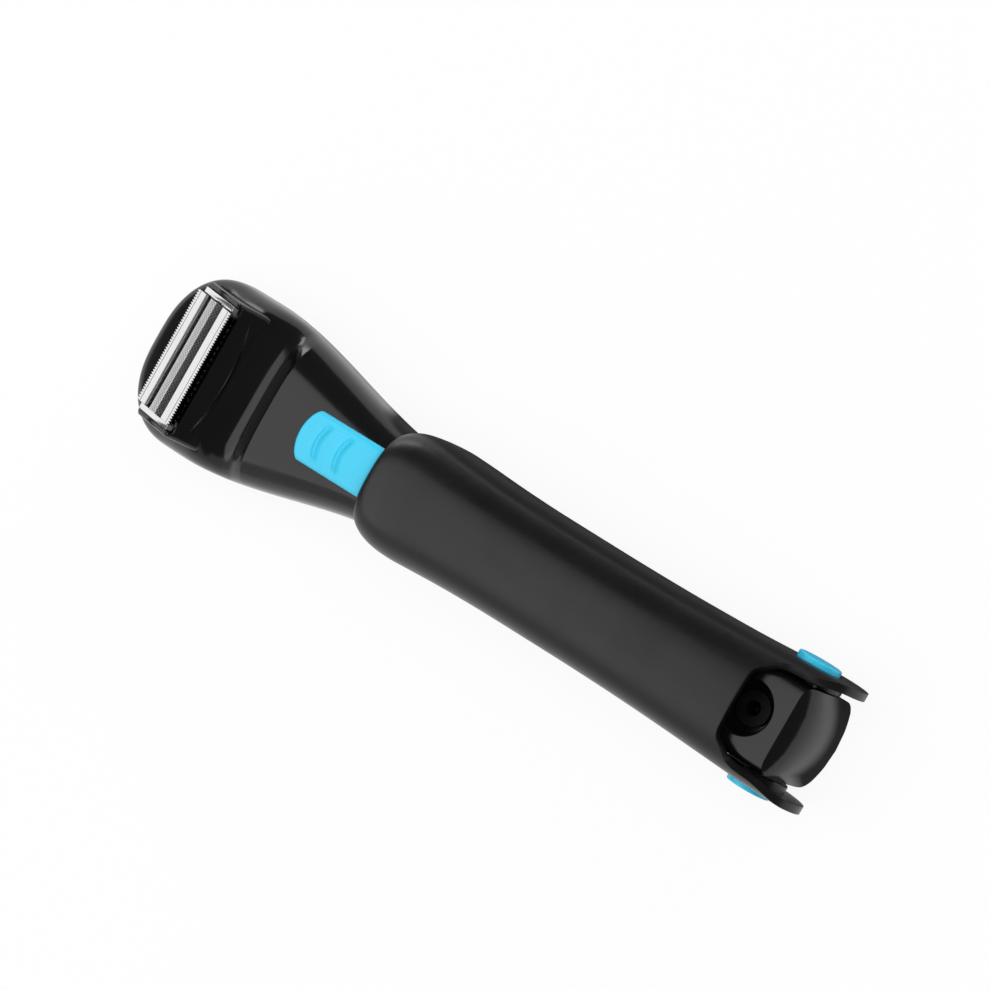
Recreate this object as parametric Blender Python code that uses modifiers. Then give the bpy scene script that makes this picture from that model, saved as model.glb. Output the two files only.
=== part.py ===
"""Folding body groomer: foil head, slide switch, sealed drive and a fold-over handle.

Frame: metres, +X from the head towards the hinge, +Y to the left side, +Z up.
The casing rests on the flat strip under it at z = 0, with the handle folded shut.
"""
import bpy
import bmesh
from math import cos, pi, radians, sin
from mathutils import Matrix, Vector

MM = 0.001
NAME = "folding_body_groomer"

# Casing
NOSE_X = -109.0 * MM
NOSE_START = -90.0 * MM
BELLY_START = -86.0 * MM
SPLIT_Z = 12.0 * MM
WALL = 1.8 * MM
HEAD_HALF = 23.4 * MM
GRIP_HALF = 12.4 * MM
FLARE_START = -83.0 * MM
FLARE_END = -20.0 * MM
PLATEAU_Z = 26.5 * MM
TAIL_Z = 25.0 * MM
FLAT_CUT = 0.35 * MM
LOWER_POWER = 2.5
GAP = 0.3 * MM

# Foil head, in its own axes: u across the foil, v along it, n out of it
HEAD_TILT = radians(36.0)
HEAD_X = -92.25 * MM
HEAD_Z = 25.7 * MM
FRAME_HALF_V = 19.7 * MM
FRAME_HALF_U = 10.6 * MM
APRON_BULGE = 1.7 * MM
FRAME_DEPTH = 11.0 * MM
CASSETTE_HALF_U = 9.3 * MM
CASSETTE_HALF_V = 18.05 * MM
COMB_INNER = 4.0 * MM
TOOTH_ROOT = 9.4 * MM
TOOTH_TIP = 11.6 * MM
TOOTH_COUNT = 26
FOIL_HALF = 2.2 * MM
FOIL_RISE = 1.5 * MM
FOIL_SHEET = 0.35 * MM
CUTTER_TRAVEL = 0.6 * MM

# Drive
DRIVE_Z = 9.7 * MM
MOTOR_FRONT = -76.3 * MM
MOTOR_LENGTH = 25.0 * MM
MOTOR_RADIUS = 10.0 * MM
MOTOR_FLAT = 7.6 * MM
MOTOR_BACK = MOTOR_FRONT + MOTOR_LENGTH
BELL_LENGTH = 3.0 * MM
SHAFT_RADIUS = 1.0 * MM
PIN_OFFSET = 0.6 * MM
PIN_RADIUS = 0.7 * MM
ROD_RADIUS = 1.0 * MM

# Power
CELL_RADIUS = 7.1 * MM
CELL_LENGTH = 50.0 * MM
CELL_Z = 9.2 * MM
BOSS_X = MOTOR_BACK + BELL_LENGTH + 4.8 * MM
BOSS_Y = 7.6 * MM
CELL_FRONT = BOSS_X + 7.5 * MM
CELL_BACK = CELL_FRONT + 2.0 * (CELL_LENGTH + GAP)
BOARD_Z = 19.4 * MM
BOARD_THICK = 1.2 * MM

# Slide switch
SWITCH_FRONT = -53.3 * MM
SWITCH_LENGTH = 23.5 * MM
SWITCH_HALF = 7.1 * MM
SWITCH_ARC = 2.2 * MM
SWITCH_RISE = 1.4 * MM
SWITCH_TRAVEL = 5.0 * MM
STEM_X = -40.2 * MM

# Hinge and handle
PLUG_X = CELL_BACK + 1.4 * MM
CASING_END = PLUG_X + 10.0 * MM
TAIL_SHIFT = CASING_END - 76.0 * MM
PIVOT_X = CASING_END + 18.2 * MM
PIVOT_Z = 13.0 * MM
AXLE_RADIUS = 2.5 * MM
WELL_X = CASING_END + 11.3 * MM
WELL_RADIUS = 7.0 * MM
WELL_DEPTH = 7.0 * MM
CREASE_X = CASING_END + 22.5 * MM
EAR_END = CASING_END + 33.0 * MM
HANDLE_WALL = 2.2 * MM
ARCH_BASE = 20.0 * MM
ARCH_POWER = 2.6
WINDOW_X = CASING_END + 10.0 * MM
WINDOW_HALF = 11.0 * MM
BOSS_FACE = 12.9 * MM
BUTTON_RADIUS = 6.0 * MM
BUTTON_FLOOR = 14.2 * MM
BUTTON_FACE = 19.1 * MM

TOP_LINE = [
    (-109.0, 12.4), (-108.6, 13.4), (-107.6, 14.5), (-105.5, 15.8), (-102.5, 17.2),
    (-99.0, 18.8), (-92.0, 22.8), (-85.0, 26.6), (-80.0, 27.4), (-77.7, 26.6),
    (-74.0, 24.3), (-71.0, 23.1), (-69.0, 23.4), (-66.2, 25.4), (-65.0, 26.2),
    (-64.4, 26.5), (-25.0, 26.5), (-10.0, 26.1), (15.0, 25.3), (40.0, 25.0), (112.0, 25.0),
]
HANDLE_HALF = [
    (-29.0, 12.4), (-28.4, 13.3), (-27.2, 14.3), (-25.2, 15.3), (-22.7, 16.0), (-19.7, 16.4),
    (-16.5, 16.5), (-11.0, 16.2), (3.0, 15.5), (14.0, 15.25), (36.0, 15.2), (52.0, 15.35),
    (68.0, 15.8), (85.0, 16.5), (96.0, 16.95), (109.0, 17.2),
]
HANDLE_TOP = [
    (-29.0, 31.5), (-28.4, 32.1), (-27.2, 32.6), (-25.2, 33.0), (-21.2, 33.3), (-13.0, 33.3),
    (30.0, 32.4), (86.0, 31.4), (109.0, 30.8),
]
CASING_STATIONS = [
    -108.9, -108.4, -107.4, -106.0, -104.0, -101.5, -98.5, -95.0, -91.0, -87.0, -83.5, -80.5,
    -78.2, -76.5, -74.5, -72.6, -70.8, -69.2, -67.6, -66.2, -65.2, -64.4, -61.0, -55.0, -48.0,
    -41.0, -34.0, -27.0, -20.0, -10.0, 5.0, 25.0, 45.0, 76.0,
]
CAVITY_STATIONS = [
    -105.5, -103.5, -100.5, -97.0, -92.0, -86.0, -80.5, -77.0, -74.0, -71.0, -68.5, -66.0, -64.0,
    -55.0, -45.0, -35.0, -25.0, -14.0, 5.0, 40.0, 80.0,
]
HANDLE_STATIONS = [
    -29.0, -28.4, -27.2, -25.2, -22.7, -19.7, -16.5, -11.0, -5.0, 3.0, 14.0, 25.0, 36.0, 52.0,
    68.0, 80.0, 88.0, 96.0, 112.0,
]

REAR_STATIONS = [
    -108.9, -108.4, -107.4, -106.0, -104.0, -101.5, -98.5, -95.0, -91.0, -86.0, -80.5, -73.0, -65.0,
    -57.0, -49.0, -41.0, -34.0, -27.0, -20.0, 5.0, 76.0,
]
REAR_CAVITY_STATIONS = [
    -105.5, -103.5, -100.5, -97.0, -92.0, -86.0, -78.0, -70.0, -62.0, -54.0, -45.0, -35.0, -25.0, -14.0,
    5.0, 80.0,
]


def stretched(x):
    """A place on the grip, in millimetres, moved with the tail when the cells or the motor change."""
    return x + TAIL_SHIFT / MM if x > 40.0 else x


TOP_LINE, HANDLE_HALF, HANDLE_TOP = [
    [(stretched(x), value) for x, value in line] for line in (TOP_LINE, HANDLE_HALF, HANDLE_TOP)]
CASING_STATIONS, CAVITY_STATIONS, REAR_STATIONS, REAR_CAVITY_STATIONS, HANDLE_STATIONS = [
    [stretched(x) for x in line] for line in
    (CASING_STATIONS, CAVITY_STATIONS, REAR_STATIONS, REAR_CAVITY_STATIONS, HANDLE_STATIONS)]

BLACK = (0.012, 0.012, 0.013, 1.0)
SATIN = (0.03, 0.03, 0.032, 1.0)
BLUE = (0.045, 0.6, 0.92, 1.0)
STEEL = (0.72, 0.73, 0.75, 1.0)
WHITE = (0.8, 0.8, 0.78, 1.0)
BRASS = (0.75, 0.55, 0.25, 1.0)
GREEN = (0.03, 0.2, 0.08, 1.0)

for old in list(bpy.data.objects):
    bpy.data.objects.remove(old, do_unlink=True)

parts = bpy.data.collections.new(NAME)
cutters = bpy.data.collections.new("cutters")
bpy.context.scene.collection.children.link(parts)
bpy.context.scene.collection.children.link(cutters)


def material(name, colour, rough, metal):
    made = bpy.data.materials.new(name)
    made.use_nodes = True
    shader = made.node_tree.nodes["Principled BSDF"]
    shader.inputs["Base Color"].default_value = colour
    shader.inputs["Roughness"].default_value = rough
    shader.inputs["Metallic"].default_value = metal
    return made


def finish(name, mesh, colour=None, rough=0.4, metal=0.0):
    """Link a mesh as a part with its own material, or as a tool if it has no colour."""
    made = bpy.data.objects.new(name, mesh)
    if colour is None:
        cutters.objects.link(made)
        made.hide_render = True
        made.display_type = "WIRE"
    else:
        parts.objects.link(made)
        mesh.materials.append(material(name + "_material", colour, rough, metal))
    return made


def mesh_from(name, points, faces):
    mesh = bpy.data.meshes.new(name)
    mesh.from_pydata([tuple(p) for p in points], [], faces)
    work = bmesh.new()
    work.from_mesh(mesh)
    bmesh.ops.remove_doubles(work, verts=work.verts, dist=1e-7)
    bmesh.ops.recalc_face_normals(work, faces=work.faces)
    work.to_mesh(mesh)
    work.free()
    return mesh


def loft(name, rings, **look):
    """Join equal rings of points into one closed skin with flat ends."""
    count = len(rings[0])
    points = [p for ring in rings for p in ring]
    faces = [tuple(range(count)), tuple(range((len(rings) - 1) * count, len(rings) * count))]
    for r in range(len(rings) - 1):
        for k in range(count):
            a = r * count + k
            b = r * count + (k + 1) % count
            faces.append((a, b, b + count, a + count))
    return finish(name, mesh_from(name, points, faces), **look)


def slab(name, upper, lower, **look):
    """Close the space between two grids of points of the same size."""
    rows = len(upper)
    cols = len(upper[0])
    points = [p for row in upper for p in row] + [p for row in lower for p in row]
    under = rows * cols
    faces = []
    for r in range(rows - 1):
        for c in range(cols - 1):
            a = r * cols + c
            face = (a, a + 1, a + 1 + cols, a + cols)
            faces.append(face)
            faces.append(tuple(under + v for v in reversed(face)))
    edge = [c for c in range(cols)]
    edge += [r * cols + cols - 1 for r in range(1, rows)]
    edge += [(rows - 1) * cols + c for c in range(cols - 2, -1, -1)]
    edge += [r * cols for r in range(rows - 2, 0, -1)]
    for k, a in enumerate(edge):
        b = edge[(k + 1) % len(edge)]
        faces.append((a, b, under + b, under + a))
    return finish(name, mesh_from(name, points, faces), **look)


def axes(first, second, third, origin=(0.0, 0.0, 0.0)):
    """Matrix that lays three coordinates along three directions from an origin."""
    return Matrix.Translation(origin) @ Matrix((first, second, third)).transposed().to_4x4()


PLAIN = Matrix.Identity(4)
SIDEWAYS = axes((1, 0, 0), (0, 0, 1), (0, 1, 0))
LENGTHWISE = axes((0, 1, 0), (0, 0, 1), (1, 0, 0))
HEAD = axes((cos(HEAD_TILT), 0, sin(HEAD_TILT)), (0, 1, 0), (-sin(HEAD_TILT), 0, cos(HEAD_TILT)),
            (HEAD_X, 0, HEAD_Z))
HEAD_SIDE = HEAD @ SIDEWAYS


def head_point(u, v, n):
    """Head axes into the part's frame."""
    return HEAD @ Vector((u, v, n))


def shaped(name, work, place, look):
    """Lay a bmesh out by a matrix and finish it, faces outwards."""
    bmesh.ops.transform(work, matrix=place, verts=work.verts)
    bmesh.ops.recalc_face_normals(work, faces=work.faces)
    mesh = bpy.data.meshes.new(name)
    work.to_mesh(mesh)
    work.free()
    return finish(name, mesh, **look)


def prism(name, outline, low, high, place, **look):
    """Extrude a flat outline between two levels, then lay it out by a matrix."""
    work = bmesh.new()
    face = work.faces.new([work.verts.new((a, b, low)) for a, b in outline])
    raised = bmesh.ops.extrude_face_region(work, geom=[face])
    moved = [item for item in raised["geom"] if isinstance(item, bmesh.types.BMVert)]
    bmesh.ops.translate(work, verts=moved, vec=(0.0, 0.0, high - low))
    if face.is_valid and len(face.edges[0].link_faces) < 2:
        work.faces.new([v for v in face.verts])
    return shaped(name, work, place, look)


def box(name, a, b, c, place=PLAIN, **look):
    """A cube between three pairs of limits, laid out by a matrix."""
    work = bmesh.new()
    middle = Vector(((a[0] + a[1]) / 2.0, (b[0] + b[1]) / 2.0, (c[0] + c[1]) / 2.0))
    size = Matrix.Diagonal((a[1] - a[0], b[1] - b[0], c[1] - c[0], 1.0))
    bmesh.ops.create_cube(work, size=1.0, matrix=Matrix.Translation(middle) @ size)
    return shaped(name, work, place, look)


def rod(name, start, end, radius, sides=24, **look):
    start = Vector(start)
    end = Vector(end)
    work = bmesh.new()
    turn = Vector((0.0, 0.0, 1.0)).rotation_difference(end - start).to_matrix().to_4x4()
    place = Matrix.Translation((start + end) / 2.0) @ turn
    bmesh.ops.create_cone(work, cap_ends=True, segments=sides, radius1=radius, radius2=radius,
                          depth=(end - start).length, matrix=place)
    mesh = bpy.data.meshes.new(name)
    work.to_mesh(mesh)
    work.free()
    return finish(name, mesh, **look)


def turned(name, profile, centre, axis, steps=32, **look):
    """Revolve (radius, height) points, top first, about an axis through a centre."""
    mesh = bpy.data.meshes.new(name)
    points = [(r, 0.0, h) for r, h in profile]
    mesh.from_pydata(points, [(k, k + 1) for k in range(len(points) - 1)], [])
    made = finish(name, mesh, **look)
    made.rotation_mode = "QUATERNION"
    made.rotation_quaternion = Vector((0.0, 0.0, 1.0)).rotation_difference(Vector(axis))
    made.location = centre
    spin = made.modifiers.new("turn", "SCREW")
    spin.axis = "Z"
    spin.angle = 2.0 * pi
    spin.steps = steps
    spin.render_steps = steps
    spin.use_merge_vertices = True
    spin.merge_threshold = 1e-6
    return made


def boolean(target, tool, how):
    step = target.modifiers.new(how.lower() + "_" + tool.name, "BOOLEAN")
    step.operation = how
    step.solver = "EXACT"
    step.object = tool
    return target


def cut(target, tool):
    return boolean(target, tool, "DIFFERENCE")


def join(target, tool):
    return boolean(target, tool, "UNION")


def keep(target, tool):
    return boolean(target, tool, "INTERSECT")


def seat(made, origin):
    """Move an object's origin onto its joint axis without moving its shape."""
    origin = Vector(origin)
    made.data.transform(Matrix.Translation(-origin))
    made.location = origin
    return made


def blend(t):
    t = max(0.0, min(1.0, t))
    return t * t * (3.0 - 2.0 * t)


def along(line, x):
    """Monotone cubic through (mm, mm) points, read and returned in metres."""
    x = x / MM
    if x <= line[0][0]:
        return line[0][1] * MM
    if x >= line[-1][0]:
        return line[-1][1] * MM
    k = max(i for i in range(len(line) - 1) if line[i][0] <= x)
    steps = [(line[i + 1][1] - line[i][1]) / (line[i + 1][0] - line[i][0])
             for i in range(len(line) - 1)]

    def slope(i):
        if i == 0:
            return steps[0]
        if i == len(line) - 1:
            return steps[-1]
        if steps[i - 1] * steps[i] <= 0.0:
            return 0.0
        return 2.0 * steps[i - 1] * steps[i] / (steps[i - 1] + steps[i])

    span = line[k + 1][0] - line[k][0]
    t = (x - line[k][0]) / span
    near = line[k][1] * (1 + 2 * t) * (1 - t) ** 2 + slope(k) * span * t * (1 - t) ** 2
    far = line[k + 1][1] * t * t * (3 - 2 * t) + slope(k + 1) * span * t * t * (t - 1)
    return (near + far) * MM


def casing_half(x):
    if x < NOSE_START:
        r = min(1.0, (NOSE_START - x) / (NOSE_START - NOSE_X))
        return HEAD_HALF * (1.0 - r ** 2.4) ** (1.0 / 2.4)
    mix = blend((x - FLARE_START) / (FLARE_END - FLARE_START))
    return HEAD_HALF + (GRIP_HALF - HEAD_HALF) * mix


def casing_floor(x):
    if x > BELLY_START:
        return -FLAT_CUT
    r = min(1.0, (BELLY_START - x) / (BELLY_START - NOSE_X))
    return SPLIT_Z - (SPLIT_Z + FLAT_CUT) * (1.0 - r ** 2.3) ** (1.0 / 2.3)


def upper_power(x):
    return 3.0 + 2.0 * blend((x - FLARE_END) / (60.0 * MM))


def casing_ring(x, inset, count=36):
    """Casing section at x: a flat-topped upper half and a rounder half below the split."""
    half = casing_half(x) - inset
    rise = along(TOP_LINE, x) - inset - SPLIT_Z
    drop = SPLIT_Z - casing_floor(x) - inset
    ring = []
    for k in range(count):
        c = cos(2.0 * pi * k / count)
        s = sin(2.0 * pi * k / count)
        c = 0.0 if abs(c) < 1e-9 else c
        power = upper_power(x) if s >= 0.0 else LOWER_POWER
        y = half * abs(c) ** (2.0 / power) * (1.0 if c >= 0.0 else -1.0)
        if s >= 0.0:
            z = SPLIT_Z + rise * abs(s) ** (2.0 / power)
        else:
            z = SPLIT_Z - drop * abs(s) ** (2.0 / power)
            z = max(z, inset) if inset else z
        ring.append(Vector((x, y, z)))
    return ring


def casing_top(x, y):
    power = upper_power(x)
    part = max(0.0, 1.0 - (abs(y) / casing_half(x)) ** power)
    return SPLIT_Z + (along(TOP_LINE, x) - SPLIT_Z) * part ** (1.0 / power)


def frame_outline(bulge, grow, count=12):
    """Head outline in (u, v): straight back and ends, bowed front."""
    u = FRAME_HALF_U + grow
    v = FRAME_HALF_V + grow
    corner = 1.6 * MM
    points = [(-u + corner, v), (-u, v - corner), (-u, -v + corner), (-u + corner, -v)]
    points.append((u - corner, -v))
    for k in range(count + 1):
        w = -1.0 + 2.0 * k / count
        points.append((u + bulge * (1.0 - w * w), w * (v - corner)))
    points.append((u - corner, v))
    return points


def tooth_outline(inner, root, tip, half, count, side):
    """Plate outline in (u, v) with square teeth along one long edge."""
    pitch = 2.0 * half / count
    points = [(side * inner, -half)]
    for k in range(count):
        v = -half + pitch * k
        points.append((side * root, v + 0.25 * pitch) if k else (side * root, v))
        if k == 0:
            points.append((side * root, v + 0.25 * pitch))
        points.append((side * tip, v + 0.3 * pitch))
        points.append((side * tip, v + 0.7 * pitch))
        points.append((side * root, v + 0.75 * pitch))
    points.append((side * root, half))
    points.append((side * inner, half))
    return points


# Casing halves
cavity = loft("casing_cavity", [casing_ring(x * MM, WALL, 32) for x in CAVITY_STATIONS])
above = box("above_split", (-0.2, 0.2), (-0.1, 0.1), (SPLIT_Z + GAP / 2, 0.1))
below = box("below_split", (-0.2, 0.2), (-0.1, 0.1), (0.0, SPLIT_Z - GAP / 2))
casing_rings = [casing_ring(x * MM, 0.0) for x in CASING_STATIONS]

front = loft("front_casing", casing_rings, colour=BLACK, rough=0.12)
keep(front, above)
cut(front, cavity)
mouth = prism("head_mouth", frame_outline(APRON_BULGE, GAP), -FRAME_DEPTH - 0.6 * MM, 30.0 * MM,
              HEAD)
cut(front, mouth)
slot = box("switch_slot", (STEM_X - 3.6 * MM - SWITCH_TRAVEL, STEM_X + 3.6 * MM),
           (-2.4 * MM, 2.4 * MM), (22.0 * MM, 30.0 * MM))
cut(front, slot)
BOSS_SPOTS = [(BOSS_X, BOSS_Y), (BOSS_X, -BOSS_Y)]
for n, (x, y) in enumerate(BOSS_SPOTS):
    join(front, rod("casing_boss_%d" % n, (x, y, 4.4 * MM), (x, y, 24.6 * MM), 2.6 * MM, 16))
    cut(front, rod("boss_pilot_%d" % n, (x, y, 3.0 * MM), (x, y, 13.0 * MM), 1.2 * MM, 12))
for n, (x, y) in enumerate([(-57.0, 3.4), (-57.0, -3.4), (-26.0, 3.4), (-26.0, -3.4)]):
    join(front, box("board_post_%d" % n, (x * MM - 1.1 * MM, x * MM + 1.1 * MM),
                    (y * MM - 1.1 * MM, y * MM + 1.1 * MM),
                    (BOARD_Z + BOARD_THICK + 0.2 * MM, 25.2 * MM)))

rear_cavity = loft("rear_cavity", [casing_ring(x * MM, WALL, 28) for x in REAR_CAVITY_STATIONS])
rear = loft("rear_casing", [casing_ring(x * MM, 0.0) for x in REAR_STATIONS], colour=BLACK, rough=0.14)
keep(rear, below)
cut(rear, rear_cavity)
TAIL_SCREW_X = CASING_END - 5.0 * MM
SCREWS = [
    ("casing_screw_1", BOSS_X, BOSS_Y, 2.2 * MM, 12.0 * MM),
    ("casing_screw_2", BOSS_X, -BOSS_Y, 2.2 * MM, 12.0 * MM),
    ("casing_screw_3", TAIL_SCREW_X, 5.0 * MM, 1.4 * MM, 10.0 * MM),
    ("casing_screw_4", TAIL_SCREW_X, -5.0 * MM, 1.4 * MM, 10.0 * MM),
]
for name, x, y, seat_z, tip in SCREWS[:2]:
    join(rear, rod(name + "_pad", (x, y, 2.3 * MM), (x, y, 4.1 * MM), 3.2 * MM, 20))
for name, x, y, seat_z, tip in SCREWS:
    cut(rear, turned(name + "_sink", [(0.0, 6.0 * MM), (1.2 * MM, 6.0 * MM), (1.2 * MM, seat_z),
                                      (2.3 * MM, seat_z), (2.3 * MM, -3.0 * MM), (0.0, -3.0 * MM)],
                     (x, y, 0.0), (0, 0, 1), 20))
    turned(name, [(0.0, tip), (1.0 * MM, tip - 0.6 * MM), (1.0 * MM, seat_z - 0.1 * MM),
                  (2.0 * MM, seat_z - 0.1 * MM), (2.0 * MM, seat_z - 0.6 * MM),
                  (1.4 * MM, seat_z - 0.9 * MM), (0.0, seat_z - 0.9 * MM)],
           (x, y, 0.0), (0, 0, 1), 16, colour=STEEL, rough=0.3, metal=1.0)

# Hinge block with the charging well and the axle
BLOCK_END = CASING_END + 36.0 * MM
block_rings = [casing_ring(PLUG_X, WALL + GAP), casing_ring(CASING_END + GAP, WALL + GAP),
               casing_ring(CASING_END + GAP, 0.0), casing_ring(BLOCK_END, 0.0)]
block = loft("hinge_block", block_rings, colour=BLACK, rough=0.2)
end_line = [(PLUG_X - 6.0 * MM, 0.0)]
for k in range(13):
    z = TAIL_Z * k / 12
    end_line.append((CREASE_X + 4.7 * MM * (1.0 - ((z - 4.0 * MM) / (21.0 * MM)) ** 2), z))
end_line += [(CREASE_X - 0.4 * MM, TAIL_Z + 7.0 * MM), (PLUG_X - 6.0 * MM, TAIL_Z + 7.0 * MM)]
keep(block, prism("block_side", end_line, -30.0 * MM, 30.0 * MM, SIDEWAYS))
cut(block, rod("axle_bore", (PIVOT_X, -30 * MM, PIVOT_Z), (PIVOT_X, 30 * MM, PIVOT_Z),
               AXLE_RADIUS + 0.15 * MM, 28))
WELL_FLOOR = TAIL_Z - WELL_DEPTH
cut(block, rod("charge_well", (WELL_X, 0, WELL_FLOOR), (WELL_X, 0, 40 * MM), WELL_RADIUS, 40))
cut(block, rod("jack_seat", (WELL_X, 0, 9.0 * MM), (WELL_X, 0, 20 * MM), 3.4 * MM, 24))
for name, x, y, seat_z, tip in SCREWS[2:]:
    cut(block, rod(name + "_pilot", (x, y, 0.0), (x, y, tip + 0.6 * MM), 1.2 * MM, 16))
turned("charge_jack", [(0.0, 17.0 * MM), (0.65 * MM, 16.6 * MM), (0.65 * MM, 11.0 * MM),
                       (2.0 * MM, 11.0 * MM), (2.0 * MM, 19.2 * MM), (4.6 * MM, 19.2 * MM),
                       (4.6 * MM, 18.2 * MM), (3.2 * MM, 18.2 * MM), (3.2 * MM, 9.2 * MM),
                       (0.0, 9.2 * MM)],
       (WELL_X, 0, 0), (0, 0, 1), 20, colour=STEEL, rough=0.25, metal=1.0)
rod("hinge_axle", (PIVOT_X, -14.0 * MM, PIVOT_Z), (PIVOT_X, 14.0 * MM, PIVOT_Z), AXLE_RADIUS, 28,
    colour=STEEL, rough=0.25, metal=1.0)

# Motor, chassis and guide rods
flat = [(MOTOR_RADIUS * cos(a), MOTOR_RADIUS * sin(a)) for a in
        [2.0 * pi * k / 48 for k in range(48)]]
flat = [(y, DRIVE_Z + max(-MOTOR_FLAT, min(MOTOR_FLAT, z))) for y, z in flat]
outline = [p for k, p in enumerate(flat) if k % 2 == 0 or abs(abs(p[1] - DRIVE_Z) - MOTOR_FLAT) > 1e-9]
motor = prism("motor_can", outline, MOTOR_FRONT, MOTOR_BACK, LENGTHWISE,
              colour=STEEL, rough=0.3, metal=1.0)
shaft_bore = rod("shaft_bore", (-0.12, 0, DRIVE_Z), (MOTOR_BACK - 2.0 * MM, 0, DRIVE_Z),
                 SHAFT_RADIUS + 0.15 * MM, 20)
cut(motor, shaft_bore)
bell = [(0.92 * y, DRIVE_Z + 0.92 * (z - DRIVE_Z)) for y, z in outline]
prism("motor_bell", bell, MOTOR_BACK + 0.2 * MM, MOTOR_BACK + BELL_LENGTH,
      LENGTHWISE, colour=WHITE, rough=0.5)
wall_x = (MOTOR_FRONT - 2.1 * MM, MOTOR_FRONT - GAP)
chassis = loft("drive_chassis", [casing_ring(x, WALL + 2.0 * GAP, 32) for x in wall_x], colour=WHITE, rough=0.5)
cut(chassis, box("chassis_top", (-0.1, -0.05), (-0.1, 0.1), (20.4 * MM, 0.1)))
cut(chassis, rod("motor_nose", (-0.1, 0, DRIVE_Z), (-0.06, 0, DRIVE_Z), 4.5 * MM, 28))
deck = (-13.5 * MM, -12.2 * MM)
join(chassis, box("chassis_deck", (-9.0 * MM, 9.0 * MM), (-17.4 * MM, 17.4 * MM), deck, HEAD))
ROD_U = 6.0 * MM
ROD_N = -10.4 * MM
for n, (su, sv) in enumerate([(1, 1), (1, -1), (-1, 1), (-1, -1)]):
    spot_u = sorted((su * 4.6 * MM, su * 7.4 * MM))
    spot_v = sorted((sv * 14.2 * MM, sv * 16.6 * MM))
    join(chassis, box("rod_post_%d" % n, spot_u, spot_v, (-12.8 * MM, -8.9 * MM), HEAD))
cut(chassis, box("fork_hole", (-89.5 * MM, -82.8 * MM), (-6.0 * MM, 6.0 * MM), (2.0 * MM, 20.0 * MM)))
bores = []
for side, name in ((1, "guide_rod_front"), (-1, "guide_rod_rear")):
    ends = [head_point(side * ROD_U, v, ROD_N) for v in (-17.0 * MM, 17.0 * MM)]
    rod(name, ends[0], ends[1], ROD_RADIUS, 16, colour=STEEL, rough=0.2, metal=1.0)
    bores.append(rod(name + "_bore", ends[0] - Vector((0, 0.01, 0)), ends[1] + Vector((0, 0.01, 0)),
                     ROD_RADIUS + 0.15 * MM, 16))
    cut(chassis, bores[-1])

# Rotor
shaft = rod("motor_shaft", (-82.4 * MM, 0, DRIVE_Z), (MOTOR_BACK - 2.2 * MM, 0, DRIVE_Z),
            SHAFT_RADIUS, 20, colour=STEEL, rough=0.2, metal=1.0)
seat(shaft, (-82.4 * MM, 0, DRIVE_Z))
cam = rod("drive_eccentric", (-83.0 * MM, 0, DRIVE_Z), (-79.2 * MM, 0, DRIVE_Z), 3.8 * MM, 28,
          colour=WHITE, rough=0.4)
seat(cam, (-83.0 * MM, 0, DRIVE_Z))
pin_z = DRIVE_Z + PIN_OFFSET
join(cam, rod("crank_pin", (-88.0 * MM, 0, pin_z), (-82.8 * MM, 0, pin_z), PIN_RADIUS, 16))
cut(cam, rod("cam_bore", (-82.6 * MM, 0, DRIVE_Z), (-78.0 * MM, 0, DRIVE_Z), SHAFT_RADIUS + 0.15 * MM, 20))

# Cutter carriage
bridge = box("drive_bridge", (-7.6 * MM, 7.6 * MM), (-12.0 * MM, 12.0 * MM), (-11.8 * MM, -8.9 * MM),
             HEAD, colour=WHITE, rough=0.4)
join(bridge, box("fork_arm", (-87.6 * MM, -84.6 * MM), (-4.2 * MM, 4.2 * MM), (6.4 * MM, 17.6 * MM)))
cut(bridge, box("fork_slot", (-90 * MM, -82 * MM), (-2.05 * MM, 2.05 * MM), (5.0 * MM, 12.6 * MM)))
for tool in bores:
    cut(bridge, tool)
bar = box("cutter_block", (-1.6 * MM, 1.6 * MM), (-15.0 * MM, 15.0 * MM), (-8.6 * MM, -2.4 * MM),
          HEAD, colour=STEEL, rough=0.3, metal=1.0)
BLADES = 16
for k in range(BLADES):
    v = (-14.0 + 28.0 * k / (BLADES - 1)) * MM
    crown = [(1.5 * MM, -3.0 * MM), (1.5 * MM, -0.9 * MM), (0.9 * MM, -0.1 * MM), (0.0, 0.2 * MM),
             (-0.9 * MM, -0.1 * MM), (-1.5 * MM, -0.9 * MM), (-1.5 * MM, -3.0 * MM)]
    join(bar, prism("lamella_%d" % k, crown, v - 0.35 * MM, v + 0.35 * MM,
                    HEAD_SIDE))

# Head frame, cassette and trimmer blades
rings = []
for level, bulge in ((-FRAME_DEPTH, APRON_BULGE), (-8.0 * MM, APRON_BULGE), (-4.5 * MM, 0.8 * MM),
                     (-1.2 * MM, 0.0), (-0.5 * MM, 0.0)):
    shrink = -0.5 * MM if level > -1.0 * MM else 0.0
    rings.append([head_point(u, v, level) for u, v in frame_outline(bulge, shrink)])
frame = loft("head_frame", rings, colour=BLACK, rough=0.18)
cut(frame, box("frame_hollow", (-8.6 * MM, 8.6 * MM), (-17.3 * MM, 17.3 * MM), (-0.03, 0.03), HEAD))
cut(frame, box("cassette_seat", (-9.6 * MM, 9.6 * MM), (-18.35 * MM, 18.35 * MM), (-3.9 * MM, 0.03),
               HEAD))
cut(frame, box("tooth_relief", (-0.03, 0.03), (-18.35 * MM, 18.35 * MM), (-2.0 * MM, 0.03), HEAD))

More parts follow.
